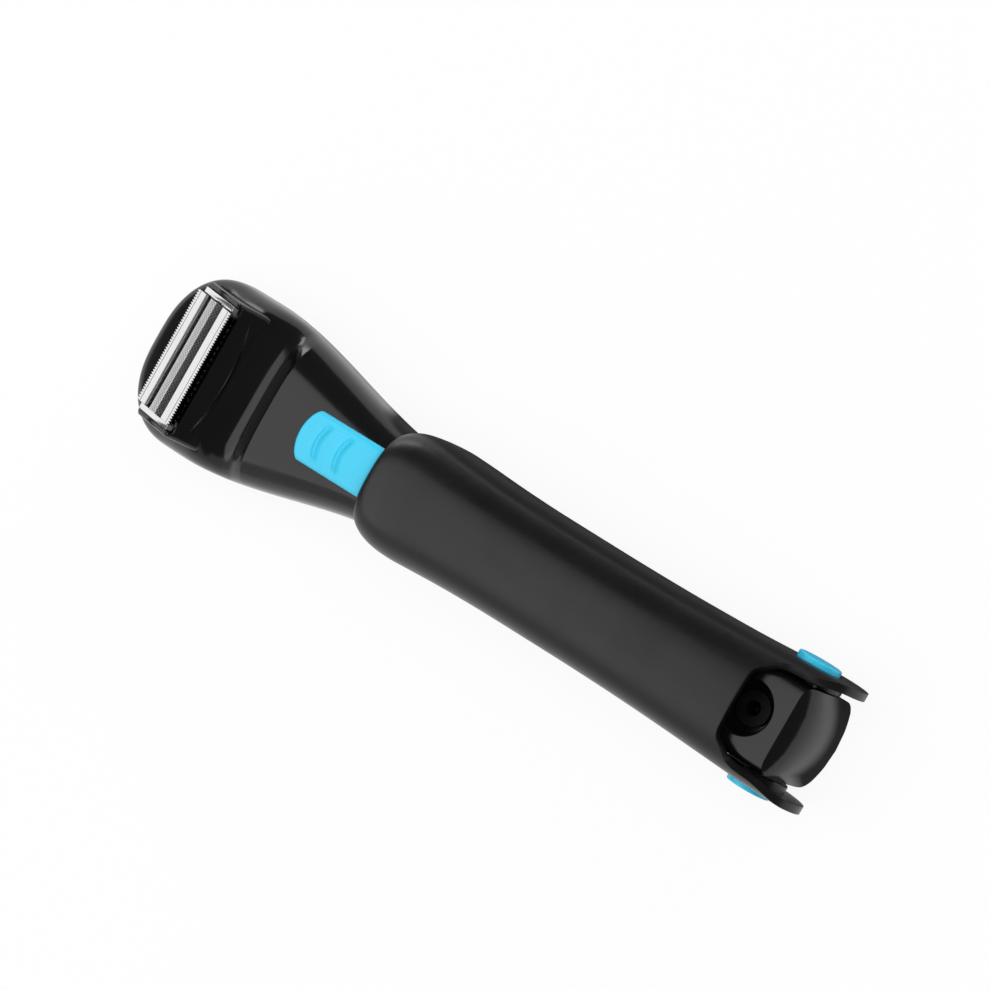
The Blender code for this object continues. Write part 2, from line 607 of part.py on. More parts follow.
tray = box("cassette_frame", (-CASSETTE_HALF_U, CASSETTE_HALF_U), (-CASSETTE_HALF_V, CASSETTE_HALF_V),
           (-3.6 * MM, 0.0), HEAD, colour=STEEL, rough=0.3, metal=1.0)
cut(tray, box("tray_hollow", (-8.3 * MM, 8.3 * MM), (-16.5 * MM, 16.5 * MM), (-0.03, 0.03), HEAD))
cut(tray, box("tray_sides", (-0.03, 0.03), (-16.5 * MM, 16.5 * MM), (-2.3 * MM, 0.03), HEAD))
for side, name in ((1, "front"), (-1, "rear")):
    prism("comb_" + name, tooth_outline(COMB_INNER, TOOTH_ROOT, TOOTH_TIP, 16.3 * MM, TOOTH_COUNT, side),
          -0.6 * MM, 0.0, HEAD, colour=STEEL, rough=0.3, metal=1.0)
    prism("trimmer_blade_" + name,
          tooth_outline(3.6 * MM, 9.0 * MM, 10.9 * MM, 15.2 * MM, 18, side), -1.5 * MM, -0.8 * MM,
          HEAD, colour=STEEL, rough=0.3, metal=1.0)
arch_out = []
arch_in = []
for v in (-16.3 * MM, 16.3 * MM):
    arch_out.append([])
    arch_in.append([])
    for k in range(13):
        w = -1.0 + 2.0 * k / 12
        level = -0.6 * MM + FOIL_RISE * (1.0 - w * w)
        arch_out[-1].append(head_point(w * FOIL_HALF, v, level))
        arch_in[-1].append(head_point(w * (FOIL_HALF - FOIL_SHEET), v, level - FOIL_SHEET))
slab("shaving_foil", arch_out, arch_in, colour=STEEL, rough=0.35, metal=1.0)

# Cells, contacts, board and switch
for n, name in enumerate(("cell_front", "cell_rear")):
    x = CELL_FRONT + n * (CELL_LENGTH + GAP)
    turned(name, [(0.0, CELL_LENGTH), (6.6 * MM, CELL_LENGTH), (CELL_RADIUS, CELL_LENGTH - 0.5 * MM),
                  (CELL_RADIUS, 1.4 * MM), (6.6 * MM, 1.0 * MM), (2.7 * MM, 1.0 * MM),
                  (2.7 * MM, 0.2 * MM), (0.0, 0.2 * MM)],
           (x, 0, CELL_Z), (1, 0, 0), 24, colour=BRASS, rough=0.35)
box("cell_contact_front", (CELL_FRONT - 0.7 * MM, CELL_FRONT - 0.2 * MM), (-5 * MM, 5 * MM),
    (4.0 * MM, 14.0 * MM), colour=BRASS, rough=0.3, metal=1.0)
box("cell_contact_rear", (CELL_BACK + 0.6 * MM, CELL_BACK + 1.1 * MM), (-5 * MM, 5 * MM), (4.0 * MM, 14.0 * MM),
    colour=BRASS, rough=0.3, metal=1.0)
board_x = (-59.0 * MM, -24.0 * MM)
box("circuit_board", board_x, (-4.6 * MM, 4.6 * MM), (BOARD_Z, BOARD_Z + BOARD_THICK), colour=GREEN,
    rough=0.5)
can_top = BOARD_Z + BOARD_THICK + 2.9 * MM
box("switch_can", (STEM_X - 7.0 * MM, STEM_X + 3.0 * MM), (-2.6 * MM, 2.6 * MM),
    (BOARD_Z + BOARD_THICK + 0.15 * MM, can_top), colour=STEEL, rough=0.3, metal=1.0)
lever = box("switch_lever", (STEM_X - 0.9 * MM, STEM_X + 0.9 * MM), (-0.8 * MM, 0.8 * MM),
            (can_top + 0.15 * MM, can_top + 1.9 * MM), colour=WHITE, rough=0.5)
seat(lever, (STEM_X, 0, can_top))

runs = [0.0, 0.5, 5.6, 6.0, 6.4, 6.8, 7.2, 12.4, 12.8, 13.2, 13.6, 14.0, 18.0]
runs += [SWITCH_LENGTH / MM - 0.6, SWITCH_LENGTH / MM]
swell = [0.5, 1.0, 1.0, 1.35, 1.5, 1.35, 1.0, 1.0, 1.35, 1.5, 1.35, 1.0, 1.0, 1.0, 0.5]
pad_top = []
pad_foot = []
for run, rise in zip(runs, swell):
    pad_top.append([])
    pad_foot.append([])
    for k in range(13):
        w = -1.0 + 2.0 * k / 12
        y = w * SWITCH_HALF
        fade = max(0.0, 1.0 - run * MM / SWITCH_LENGTH)
        x = SWITCH_FRONT + run * MM + SWITCH_ARC * w * w * fade
        lift = rise if rise < 1.01 or abs(w) < 0.8 else 1.0
        level = casing_top(x, y) + 0.4 * MM
        pad_foot[-1].append(Vector((x, y, level)))
        pad_top[-1].append(Vector((x, y, level + SWITCH_RISE * lift * (1.0 if abs(w) < 0.99 else 0.7))))
slider = slab("switch_slider", pad_top, pad_foot, colour=BLUE, rough=0.3)
seat(slider, (STEM_X, 0, PLATEAU_Z))
join(slider, box("slider_stem", (STEM_X - 3.2 * MM, STEM_X + 3.2 * MM), (-2.0 * MM, 2.0 * MM),
                 (can_top + 0.3 * MM, 27.2 * MM)))
cut(slider, box("lever_pocket", (STEM_X - 1.2 * MM, STEM_X + 1.2 * MM), (-1.1 * MM, 1.1 * MM),
                (20.0 * MM, can_top + 2.2 * MM)))

# Handle
ARCH_STEPS = 18


def handle_row(x, inset):
    half = along(HANDLE_HALF, x) - inset
    top = along(HANDLE_TOP, x) - inset
    row = [Vector((x, half, 0.0)), Vector((x, half, ARCH_BASE * 0.6))]
    for k in range(ARCH_STEPS + 1):
        a = pi * k / ARCH_STEPS
        c = 0.0 if abs(cos(a)) < 1e-9 else cos(a)
        y = half * abs(c) ** (2.0 / ARCH_POWER) * (1.0 if c >= 0.0 else -1.0)
        row.append(Vector((x, y, ARCH_BASE + (top - ARCH_BASE) * max(0.0, sin(a)) ** (2.0 / ARCH_POWER))))
    row += [Vector((x, -half, ARCH_BASE * 0.6)), Vector((x, -half, 0.0))]
    return row


handle = slab("handle_shell", [handle_row(x * MM, 0.0) for x in HANDLE_STATIONS],
              [handle_row(x * MM, HANDLE_WALL) for x in HANDLE_STATIONS], colour=SATIN, rough=0.38)
seat(handle, (PIVOT_X, 0, PIVOT_Z))
side_line = [(-40.0, 45.0), (-40.0, 29.0), (-29.2, 27.9), (-26.7, 25.2), (-23.7, 21.0), (-20.7, 16.5),
             (-17.7, 12.8), (-14.2, 10.4), (-9.7, 9.2), (-4.2, 9.0), (74.0, 9.0), (79.0, 8.2), (84.5, 6.2)]
side_line = [(stretched(x), z) for x, z in side_line]
side_line = [(x * MM, z * MM) for x, z in side_line]
EAR_RADIUS = 12.5 * MM
ear_x = EAR_END - EAR_RADIUS
for k in range(19):
    a = radians(-125.0 + 215.0 * k / 18)
    side_line.append((ear_x + EAR_RADIUS * cos(a), 14.3 * MM + EAR_RADIUS * sin(a)))
side_line += [(WINDOW_X + 5.0 * MM, 27.6 * MM), (WINDOW_X + 1.5 * MM, 30.5 * MM), (WINDOW_X - 1.0 * MM, 45.0 * MM)]
keep(handle, prism("handle_side", side_line, -30 * MM, 30 * MM, SIDEWAYS))
nook = 3.0 * MM
WINDOW_WIDE_X = WINDOW_X + 11.0 * MM
window = [(EAR_END + 20.0 * MM, -BOSS_FACE), (EAR_END + 20.0 * MM, BOSS_FACE), (WINDOW_WIDE_X, BOSS_FACE)]
for side in (1, -1):
    curve = []
    for k in range(6):
        a = radians(18.0 * k)
        curve.append((WINDOW_X + nook * (1.0 - sin(a)), side * (WINDOW_HALF - nook * (1.0 - cos(a)))))
    window += curve if side > 0 else curve[::-1]
window.append((WINDOW_WIDE_X, -BOSS_FACE))
cut(handle, prism("handle_window", window, 22.0 * MM, 50.0 * MM, PLAIN))
for n, x in enumerate((8.0 * MM, CASING_END - 18.0 * MM)):
    foot = along(TOP_LINE, x) + GAP
    join(handle, box("rest_rib_%d" % n, (x - 1.0 * MM, x + 1.0 * MM), (-8.5 * MM, 8.5 * MM),
                     (foot + 0.1 * MM, 30.2 * MM)))
for side, name in ((1, "left"), (-1, "right")):
    join(handle, rod("ear_boss_" + name, (PIVOT_X, side * BOSS_FACE, PIVOT_Z),
                     (PIVOT_X, side * 15.6 * MM, PIVOT_Z), 8.5 * MM, 32))
    cut(handle, rod("button_pocket_" + name, (PIVOT_X, side * BUTTON_FLOOR, PIVOT_Z),
                    (PIVOT_X, side * 25.0 * MM, PIVOT_Z), BUTTON_RADIUS + GAP, 28))
    cut(handle, rod("ear_bore_" + name, (PIVOT_X, side * 10.0 * MM, PIVOT_Z),
                    (PIVOT_X, side * 18.0 * MM, PIVOT_Z), AXLE_RADIUS + 0.15 * MM, 28))
    turned("release_button_" + name,
           [(0.0, BUTTON_FACE), (4.8 * MM, BUTTON_FACE - 0.2 * MM), (5.7 * MM, BUTTON_FACE - 0.6 * MM),
            (BUTTON_RADIUS, BUTTON_FACE - 1.2 * MM), (BUTTON_RADIUS, 15.9 * MM), (4.6 * MM, 15.9 * MM),
            (4.6 * MM, 18.0 * MM), (0.0, 18.0 * MM)],
           (PIVOT_X, 0, PIVOT_Z), (0, side, 0), 28, colour=BLUE, rough=0.3)
    path = []
    TURNS = 3
    for k in range(TURNS * 10 + 1):
        a = 2.0 * pi * k / 10
        y = 14.55 * MM + 3.1 * MM * k / (TURNS * 10)
        path.append((3.5 * MM * cos(a), side * y, 3.5 * MM * sin(a), 1.0))
    curve = bpy.data.curves.new("button_spring_" + name, "CURVE")
    curve.dimensions = "3D"
    curve.bevel_depth = 0.3 * MM
    curve.bevel_resolution = 1
    curve.use_fill_caps = True
    coil = curve.splines.new("POLY")
    coil.points.add(len(path) - 1)
    for point, place in zip(coil.points, path):
        point.co = place
    spring = bpy.data.objects.new("button_spring_" + name, curve)
    parts.objects.link(spring)
    spring.location = (PIVOT_X, 0, PIVOT_Z)
    curve.materials.append(material("button_spring_" + name + "_material", STEEL, 0.3, 1.0))
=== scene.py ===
"""Folding body groomer, dressed for a studio picture.

Metres, +X from the foil head to the hinge, +Y to the left side, +Z up, handle folded shut.
Every new piece is a surface worked out with numpy and rides on the body of the part it stands for.
"""

import bmesh
import bpy
import numpy as np
from bpy.props import FloatProperty, FloatVectorProperty, IntProperty, PointerProperty
from mathutils import Matrix, Vector


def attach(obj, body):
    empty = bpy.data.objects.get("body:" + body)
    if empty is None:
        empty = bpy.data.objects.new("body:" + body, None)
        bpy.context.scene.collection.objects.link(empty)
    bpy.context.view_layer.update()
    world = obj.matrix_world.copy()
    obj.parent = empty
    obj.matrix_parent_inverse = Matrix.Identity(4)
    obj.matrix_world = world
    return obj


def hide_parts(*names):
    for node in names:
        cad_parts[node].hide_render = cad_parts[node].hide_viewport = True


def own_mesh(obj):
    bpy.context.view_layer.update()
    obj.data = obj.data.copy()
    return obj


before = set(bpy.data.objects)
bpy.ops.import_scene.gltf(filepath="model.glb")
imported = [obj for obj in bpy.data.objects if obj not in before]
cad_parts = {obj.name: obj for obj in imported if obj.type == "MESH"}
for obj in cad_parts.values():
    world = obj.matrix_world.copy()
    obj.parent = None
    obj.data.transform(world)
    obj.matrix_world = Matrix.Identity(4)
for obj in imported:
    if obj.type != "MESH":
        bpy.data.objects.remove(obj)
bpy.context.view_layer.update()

bl_info = {
    "name": "Folding body groomer",
    "version": (1, 0, 0),
    "blender": (4, 5, 0),
    "location": "3D View > Sidebar > Groomer",
    "description": "Builds the mouldings, the foil cassette and the finishes of a folding body groomer",
    "category": "Object",
}

MM = 0.001           # a length written without it is in millimetres
GAP = 0.3 * MM       # between neighbouring mouldings
THROUGH = 30.0       # reach of a cutting tool past any wall

# Casing: stations along X, half widths, heights, and the power of the lower section
NOSE_X = -109.0 * MM
NOSE_START = -90.0 * MM
FLARE_START = -83.0 * MM
FLARE_END = -20.0 * MM
CASING_END = 76.0 * MM
HEAD_HALF = 23.4 * MM
GRIP_HALF = 12.4 * MM
SPLIT_Z = 12.0 * MM
FLAT_CUT = 0.35 * MM
LOWER_POWER = 2.5
# Screws: x, y and the height of the seat
SCREWS = ((-43.5, 7.6, 2.2), (-43.5, -7.6, 2.2), (71.0, 5.0, 1.4), (71.0, -5.0, 1.4))
PILOT_RADIUS = 1.2

# Foil head: its tilt and middle, the black cap, the combs and the foil
HEAD_TILT = np.radians(36.0)
HEAD_X = -92.25 * MM
HEAD_Z = 25.7 * MM
FRAME_HALF_U = 10.6 * MM
FRAME_HALF_V = 19.7 * MM
FRAME_DEPTH = 11.0 * MM
APRON_BULGE = 1.7 * MM
CASSETTE_SEAT_V = 18.35
COMB_HALF = 16.3 * MM
FOIL_HALF = 1.9 * MM
FOIL_BASE = 1.1 * MM

# Slide switch
SWITCH_FRONT = -53.3
SWITCH_LENGTH = 23.5
SWITCH_HALF = 7.1
SWITCH_RIDGES = (6.4, 13.2)
SWITCH_TRAVEL = 5.0 * MM
STEM_X = -40.2 * MM

# Tail, hinge and handle
PIVOT = Vector((94.2 * MM, 0.0, 13.0 * MM))
BORE_RADIUS = 2.65
WELL_X = 87.3 * MM
CREASE_X = 98.5 * MM
TAIL_Z = 25.0 * MM
TAIL_CROWN = 6.3 * MM
TAIL_BOW = 2.5 * MM
ARCH_BASE = 20.0 * MM
ARCH_POWER = 2.6
SKIRT_PACE = 11.0 * MM
WINDOW_FLAT = 8.0 * MM
EAR_X = 96.5 * MM
EAR_Z = 14.3 * MM
EAR_RADIUS = 12.5 * MM
HANDLE_RIBS = (8.0 * MM, 58.0 * MM)

# Lines of the groomer: position along X, then height or half width
TOP_LINE = [
    (-109.0, 12.4), (-108.6, 13.4), (-107.6, 14.5), (-105.5, 15.8), (-102.5, 17.2), (-99.0, 18.8),
    (-92.0, 22.8), (-85.0, 26.6), (-80.0, 27.4), (-77.7, 26.6), (-74.0, 24.3), (-71.0, 23.1),
    (-69.0, 23.4), (-66.2, 25.4), (-65.0, 26.2), (-64.4, 26.5), (-25.0, 26.5), (-10.0, 26.1),
    (15.0, 25.3), (40.0, 25.0), (112.0, 25.0),
]
HANDLE_HALF = [
    (-29.0, 12.4), (-28.4, 13.3), (-27.2, 14.3), (-25.2, 15.3), (-22.7, 16.0), (-19.7, 16.4),
    (-16.5, 16.5), (-11.0, 16.2), (3.0, 15.5), (14.0, 15.25), (36.0, 15.2), (52.0, 15.35),
    (68.0, 15.8), (85.0, 16.5), (96.0, 16.95), (109.0, 17.2),
]
HANDLE_TOP = [
    (-29.0, 31.5), (-28.4, 32.1), (-27.2, 32.6), (-25.2, 33.0), (-21.2, 33.3), (-13.0, 33.3),
    (30.0, 32.4), (86.0, 31.4), (109.0, 30.8),
]
HANDLE_FOOT = [
    (-29.2, 27.9), (-26.7, 25.2), (-23.7, 21.0), (-20.7, 16.5), (-17.7, 12.8), (-14.2, 10.4),
    (-9.7, 9.2), (-4.2, 9.0), (74.0, 9.0), (79.0, 8.2), (84.5, 6.2), (87.0, 5.1),
]
EAR_TOP = [
    (86.0, 30.7), (86.25, 30.35), (86.9, 30.0), (88.5, 29.4), (91.0, 27.75), (93.5, 27.0), (96.5, 26.8),
]
EAR_FOOT = [(86.0, 5.55), (87.6, 4.85), (89.33, 4.06)]

# Stations of the grids along X, closer where the lines turn
CASING_MARKS = [
    -109.0, -108.9, -108.6, -108.0, -107.0, -105.5, -103.0, -100.0, -96.0, -92.0, -88.0, -84.0, -81.0,
    -79.0, -77.0, -75.0, -73.0, -71.5, -70.0, -68.5, -67.0, -66.0, -65.2, -64.6, -64.0, -62.0, -57.0,
    -50.0, -43.0, -36.0, -29.0, -22.0, -12.0, 3.0, 22.0, 45.0, 76.0,
]
HANDLE_MARKS = [
    -29.0, -28.7, -28.2, -27.4, -26.2, -24.2, -21.2, -17.2, -12.2, -5.0, 5.0, 20.0, 40.0, 58.0, 72.0, 80.0,
    84.0, 86.0,
]

# Lamps: name, direction from the object, distance, size, power, and whether reflections show it
LAMPS = (
    ("key_softbox", (-0.52, -0.24, 0.82), 1.3, (1.62, 1.3), 9.0, True),
    ("head_strip", (-0.71, 0.70, 0.10), 1.3, (0.7, 0.3), 2.8, True),
    ("right_wall", (-0.40, -0.93, 0.32), 1.4, (1.9, 1.1), 3.6, True),
    ("left_strip", (0.25, 0.95, 0.35), 1.4, (1.0, 0.25), 4.0, False),
    ("even_fill", (0.35, 0.15, 0.92), 2.4, (2.6, 2.6), 42.0, False),
)
FLOOR_RADIUS = 1.6
FLOOR_Z = -0.0004
# Boxes on the floor, middle and half size: plain shadow to the camera, painted dark reflection in mirrors
SHADOW_BOX = ((77.0 * MM, 0.0, 0.0), (15.0 * MM, 11.5 * MM, 0.0))
PAINTED_REFLECTION_BOX = ((32.0 * MM, 73.0 * MM, 0.0), (77.0 * MM, 87.0 * MM, 0.0))

# Camera: direction from the object, turn in the picture, distance, width of the view and aim
VIEW_TOWARD = (0.39, 0.084, 0.917)
VIEW_TURN = np.radians(31.8)
VIEW_DISTANCE = 1.6
VIEW_WIDTH = 0.2487
VIEW_AIM = (-2.475 * MM, 0.0, 25.35 * MM)
VIEW_RIGHT = 8.85
VIEW_UP = 8.3
SENSOR = 36.0


def length(label, use, size, low, high):
    """A length of the groomer, given in millimetres."""
    return FloatProperty(name=label, description=use, default=size * MM, min=low * MM, max=high * MM,
                         unit="LENGTH")


def tint(label, use, red, green, blue):
    """A base colour."""
    return FloatVectorProperty(name=label, description=use, subtype="COLOR", size=4,
                               default=(red, green, blue, 1.0), min=0.0, max=1.0)


class GroomerSizes(bpy.types.PropertyGroup):
    """Sizes that a user would change, in metres."""
    casing_wall: length("Casing wall", "Thickness of the casing halves", 1.8, 0.8, 3.0)
    handle_wall: length("Handle wall", "Thickness of the fold-over handle", 2.2, 1.0, 3.0)
    handle_edge: length("Handle edge", "Rounding of the handle's edges", 0.5, 0.1, 0.9)
    switch_rise: length("Switch rise", "Height of the slide switch over the casing", 1.4, 0.5, 2.0)
    ridge_rise: length("Ridge rise", "Height of the thumb ridges on the switch", 0.65, 0.1, 1.0)
    foil_rise: length("Foil rise", "Crown of the shaving foil over its edges", 0.3, 0.1, 1.0)
    button_radius: length("Button radius", "Radius of the release buttons", 6.0, 4.0, 6.1)
    comb_teeth: IntProperty(name="Comb teeth", description="Teeth along each comb plate",
                            default=44, min=16, max=60)


class GroomerColours(bpy.types.PropertyGroup):
    """Base colours of the finishes."""
    gloss_black: tint("Casing black", "Glossy moulded casing", 0.003, 0.003, 0.0033)
    satin_black: tint("Handle black", "Satin moulded handle", 0.0035, 0.0035, 0.0038)
    accent_blue: tint("Accent blue", "Switch and release buttons", 0.045, 0.64, 0.93)
    bright_steel: tint("Comb steel", "Combs, cassette and foil", 0.95, 0.955, 0.96)
    dull_steel: tint("Inner steel", "Motor, axle, rods, screws and springs", 0.52, 0.53, 0.55)
    nylon: tint("Nylon", "Drive mouldings", 0.78, 0.77, 0.72)
    brass: tint("Brass", "Cell contacts", 0.75, 0.55, 0.25)
    board_green: tint("Board green", "Circuit board", 0.03, 0.2, 0.08)
    cell_wrap: tint("Cell wrap", "Sleeve of the cells", 0.05, 0.25, 0.12)


def along(line, x):
    """Monotone cubic through the rows of a line, in metres.

    Hermite pieces; the slope at a row is the harmonic mean of the chords beside it, or nought at a turn.
    """
    px, py = np.asarray(line, float).T * MM
    chord = np.diff(py) / np.diff(px)
    both = chord[:-1] * chord[1:]
    total = np.where(np.abs(chord[:-1] + chord[1:]) > 1e-12, chord[:-1] + chord[1:], 1.0)
    slope = np.concatenate([chord[:1], np.where(both > 0.0, 2.0 * both / total, 0.0), chord[-1:]])
    x = np.clip(np.asarray(x, float), px[0], px[-1])
    k = np.clip(np.searchsorted(px, x, side="right") - 1, 0, len(px) - 2)
    span = px[k + 1] - px[k]
    t = (x - px[k]) / span
    near = (py[k] * (1.0 + 2.0 * t) + slope[k] * span * t) * (1.0 - t) ** 2
    return near + (py[k + 1] * (3.0 - 2.0 * t) + slope[k + 1] * span * (t - 1.0)) * t ** 2


def ease(t):
    """Smoothstep: 3t^2 - 2t^3 with t held between 0 and 1."""
    t = np.clip(t, 0.0, 1.0)
    return t * t * (3.0 - 2.0 * t)


def spaced(marks, count):
    """Positions that run through the marks (millimetres) with the same number of steps between each pair."""
    marks = np.asarray(marks, float) * MM
    steps = np.linspace(0.0, len(marks) - 1.0, (len(marks) - 1) * count + 1)
    return np.interp(steps, np.arange(len(marks)), marks)


def head_points(u, v, n):
    """Head axes to the frame: u across the foil, v along it, n out of it, turned by the tilt about +Y."""
    u, v, n = np.broadcast_arrays(u, v, n)
    x = HEAD_X + u * np.cos(HEAD_TILT) - n * np.sin(HEAD_TILT)
    z = HEAD_Z + u * np.sin(HEAD_TILT) + n * np.cos(HEAD_TILT)
    return np.stack([x, v, z], -1)


def head_outline(bulge, grow, count=24):
    """Outline of the head in (u, v): straight back and ends, rounded corners, front bowed by a parabola."""
    u = FRAME_HALF_U + grow
    v = FRAME_HALF_V + grow
    corner = 1.6 * MM
    turn = np.linspace(0.0, np.pi / 2.0, 7)
    arc = corner * (1.0 - np.sin(turn))
    arc_v = corner * (1.0 - np.cos(turn))
    w = np.linspace(-1.0, 1.0, count + 1)
    front = np.stack([u + bulge * (1.0 - w * w), w * (v - corner)], -1)
    back_high = np.stack([-u + arc, v - arc_v], -1)
    back_low = np.stack([-u + arc[::-1], -v + arc_v[::-1]], -1)
    front_low = np.stack([u - arc, -v + arc_v], -1)
    front_high = np.stack([u - arc[::-1], v - arc_v[::-1]], -1)
    return np.concatenate([back_high, back_low, front_low[:-1], front, front_high[1:]])


def casing_half(x):
    """Half width: a superellipse at the nose, then a smoothstep from the head to the grip."""
    nose = np.clip((NOSE_START - x) / (NOSE_START - NOSE_X), 0.0, 1.0)
    round_nose = HEAD_HALF * (1.0 - nose ** 2.4) ** (1.0 / 2.4)
    grip = HEAD_HALF + (GRIP_HALF - HEAD_HALF) * ease((x - FLARE_START) / (FLARE_END - FLARE_START))
    return np.where(x < NOSE_START, round_nose, grip)


def casing_floor(x):
    """Lowest point of the section: flat behind the head, a superellipse up to the split at the nose."""
    start = NOSE_START + 4.0 * MM
    nose = np.clip((start - x) / (start - NOSE_X), 0.0, 1.0)
    return SPLIT_Z - (SPLIT_Z + FLAT_CUT) * (1.0 - nose ** 2.3) ** (1.0 / 2.3)


def casing_power(x):
    """Power of the upper section: 3 on the head, eased to 5 along the grip."""
    return 3.0 + 2.0 * ease((x - FLARE_END) / (60.0 * MM))


def casing_top(x, y):
    """Height of the casing over a point: the upper superellipse solved for z."""
    power = casing_power(x)
    part = np.clip(1.0 - (np.abs(y) / casing_half(x)) ** power, 0.0, 1.0)
    return SPLIT_Z + (along(TOP_LINE, x) - SPLIT_Z) * part ** (1.0 / power)


def upper_rings(x, inset, low, count):
    """Rows of the upper section from the left edge over the top: y = a cos^(2/p), z = low + b sin^(2/p)."""
    angle = np.linspace(0.0, np.pi, count)[None, :]
    x = np.asarray(x, float)[:, None]
    half = np.maximum(casing_half(x) - inset, 0.0)
    rise = np.maximum(along(TOP_LINE, x) - inset - low, 0.0)
    power = casing_power(x)
    c = np.cos(angle)
    y = half * np.sign(c) * np.abs(c) ** (2.0 / power)
    z = low + rise * np.clip(np.sin(angle), 0.0, 1.0) ** (2.0 / power)
    return np.stack([np.broadcast_to(x, y.shape), y, z], -1)


def lower_rings(x, inset, high, count):
    """Rows of the lower section from the right edge under the floor, cut flat at the resting height."""
    angle = np.linspace(np.pi, 2.0 * np.pi, count)[None, :]
    x = np.asarray(x, float)[:, None]
    half = np.maximum(casing_half(x) - inset, 0.0)
    drop = np.maximum(high - casing_floor(x) - inset, 0.0)
    c = np.cos(angle)
    y = half * np.sign(c) * np.abs(c) ** (2.0 / LOWER_POWER)
    z = high - drop * np.clip(-np.sin(angle), 0.0, 1.0) ** (2.0 / LOWER_POWER)
    return np.stack([np.broadcast_to(x, y.shape), y, np.maximum(z, inset)], -1)


def turned(profile, count):
    """Rings of a profile of (radius, height) carried round +Z.

    The first angle is 1/count, so that the points of two counts don't line up in a cut.
    """
    r, h = np.asarray(profile, float).T[:, :, None]
    a = np.linspace(0.0, 2.0 * np.pi, count, endpoint=False)[None, :] + 1.0 / count
    return np.stack(np.broadcast_arrays(r * np.cos(a), r * np.sin(a), h), -1)


def along_y(rings, hand):
    """Turns rings about +Z to stand about the hinge axis, on the left (1) or the right (-1)."""
    x, y, z = rings[..., 0], rings[..., 1], rings[..., 2]
    return np.stack([PIVOT.x + x, hand * z, PIVOT.z + y], -1)


def rounded(profile, radius, steps=5):
    """Rounds each inner corner of an open profile with a quadratic curve cut back by the radius."""
    p = np.asarray(profile, float)
    t = np.linspace(0.0, 1.0, steps)[:, None]
    back = p[:-2] - p[1:-1]
    ahead = p[2:] - p[1:-1]
    back_len = np.linalg.norm(back, axis=1, keepdims=True)
    ahead_len = np.linalg.norm(ahead, axis=1, keepdims=True)
    start = p[1:-1] + back / back_len * np.minimum(radius, 0.45 * back_len)
    end = p[1:-1] + ahead / ahead_len * np.minimum(radius, 0.45 * ahead_len)
    arcs = (((1 - t) ** 2)[None] * start[:, None] + (2 * t * (1 - t))[None] * p[1:-1, None]
            + (t ** 2)[None] * end[:, None])
    return np.concatenate([p[:1], arcs.reshape(-1, 2), p[-1:]])


def quads(rows, cols, wrap=False):
    """Corner numbers of the cells of a grid, wrapped across its columns where asked."""
    r = np.arange(rows - 1)[:, None]
    c = np.arange(cols if wrap else cols - 1)[None, :]
    near = r * cols + c
    far = r * cols + (c + 1) % cols
    return np.stack([near, far, far + cols, near + cols], -1).reshape(-1, 4)


def clean(mesh, reach):
    """Merges points within a reach, drops faces with no area and turns the normals outwards."""
    work = bmesh.new()
    work.from_mesh(mesh)
    bmesh.ops.remove_doubles(work, verts=work.verts, dist=reach)
    bmesh.ops.dissolve_degenerate(work, edges=work.edges, dist=reach)
    bmesh.ops.recalc_face_normals(work, faces=work.faces)
    work.to_mesh(mesh)
    work.free()


def mesh_object(name, points, faces):
    """A closed mesh from arrays, doubles merged and normals turned outwards."""
    mesh = bpy.data.meshes.new(name)
    mesh.from_pydata(np.asarray(points, float).tolist(), [], faces)
    clean(mesh, 2e-7)
    made = bpy.data.objects.new(name, mesh)
    bpy.context.scene.collection.objects.link(made)
    return made


def ring_solid(name, rings):
    """A closed skin through rows of rings, with a fan to the middle of each end."""
    rows, cols = rings.shape[:2]
    points = np.concatenate([rings.reshape(-1, 3), rings[:1].mean(1), rings[-1:].mean(1)])
    k = np.arange(cols)
    after = (k + 1) % cols
    first = np.stack([after, k, np.full(cols, rows * cols)], -1)
    base = (rows - 1) * cols
    last = np.stack([base + k, base + after, np.full(cols, rows * cols + 1)], -1)
    return mesh_object(name, points, quads(rows, cols, True).tolist() + first.tolist() + last.tolist())


def wall_solid(name, outer, inner, cells):
    """A wall: the cells on two matching grids, and a rim along every free edge."""
    count = outer.size // 3
    points = np.concatenate([outer.reshape(-1, 3), inner.reshape(-1, 3)])
    start = cells.reshape(-1)
    end = np.roll(cells, -1, axis=1).reshape(-1)
    free = ~np.isin(start * count + end, end * count + start)
    rim = np.stack([end[free], start[free], start[free] + count, end[free] + count], -1)
    faces = np.concatenate([cells, cells[:, ::-1] + count, rim])
    used, place = np.unique(faces, return_inverse=True)
    return mesh_object(name, points[used], place.reshape(faces.shape).tolist())


def block(name, low, high, place=None):
    """A plain tool: two square rings between two corners, placed by a map of the three axes."""
    a, b = np.asarray(low, float), np.asarray(high, float)
    c, d = np.array([0, 1, 1, 0]), np.array([0, 0, 1, 1])
    rings = np.stack([np.stack([a[0] + (b[0] - a[0]) * c, a[1] + (b[1] - a[1]) * d, np.full(4, level)], -1)
                      for level in (a[2], b[2])])
    if place is not None:
        rings = place(rings[..., 0], rings[..., 1], rings[..., 2])
    return ring_solid(name, rings)


def head_block(name, half_u, half_v, low, high):
    """A block on the head's axes, even about its middle, in millimetres."""
    return block(name, (-half_u * MM, -half_v * MM, low * MM), (half_u * MM, half_v * MM, high * MM),
                 head_points)


def rod(radius, high, low):
    """Profile of a plain round bar between two heights."""
    return [(0.0, high), (radius, high), (radius, low), (0.0, low)]


def peg(name, profile, count, x=0.0, y=0.0):
    """A solid turned about an upright line from a profile of (radius, height) in millimetres."""
    return ring_solid(name, turned(np.asarray(profile) * MM, count) + np.array([x, y, 0.0]))


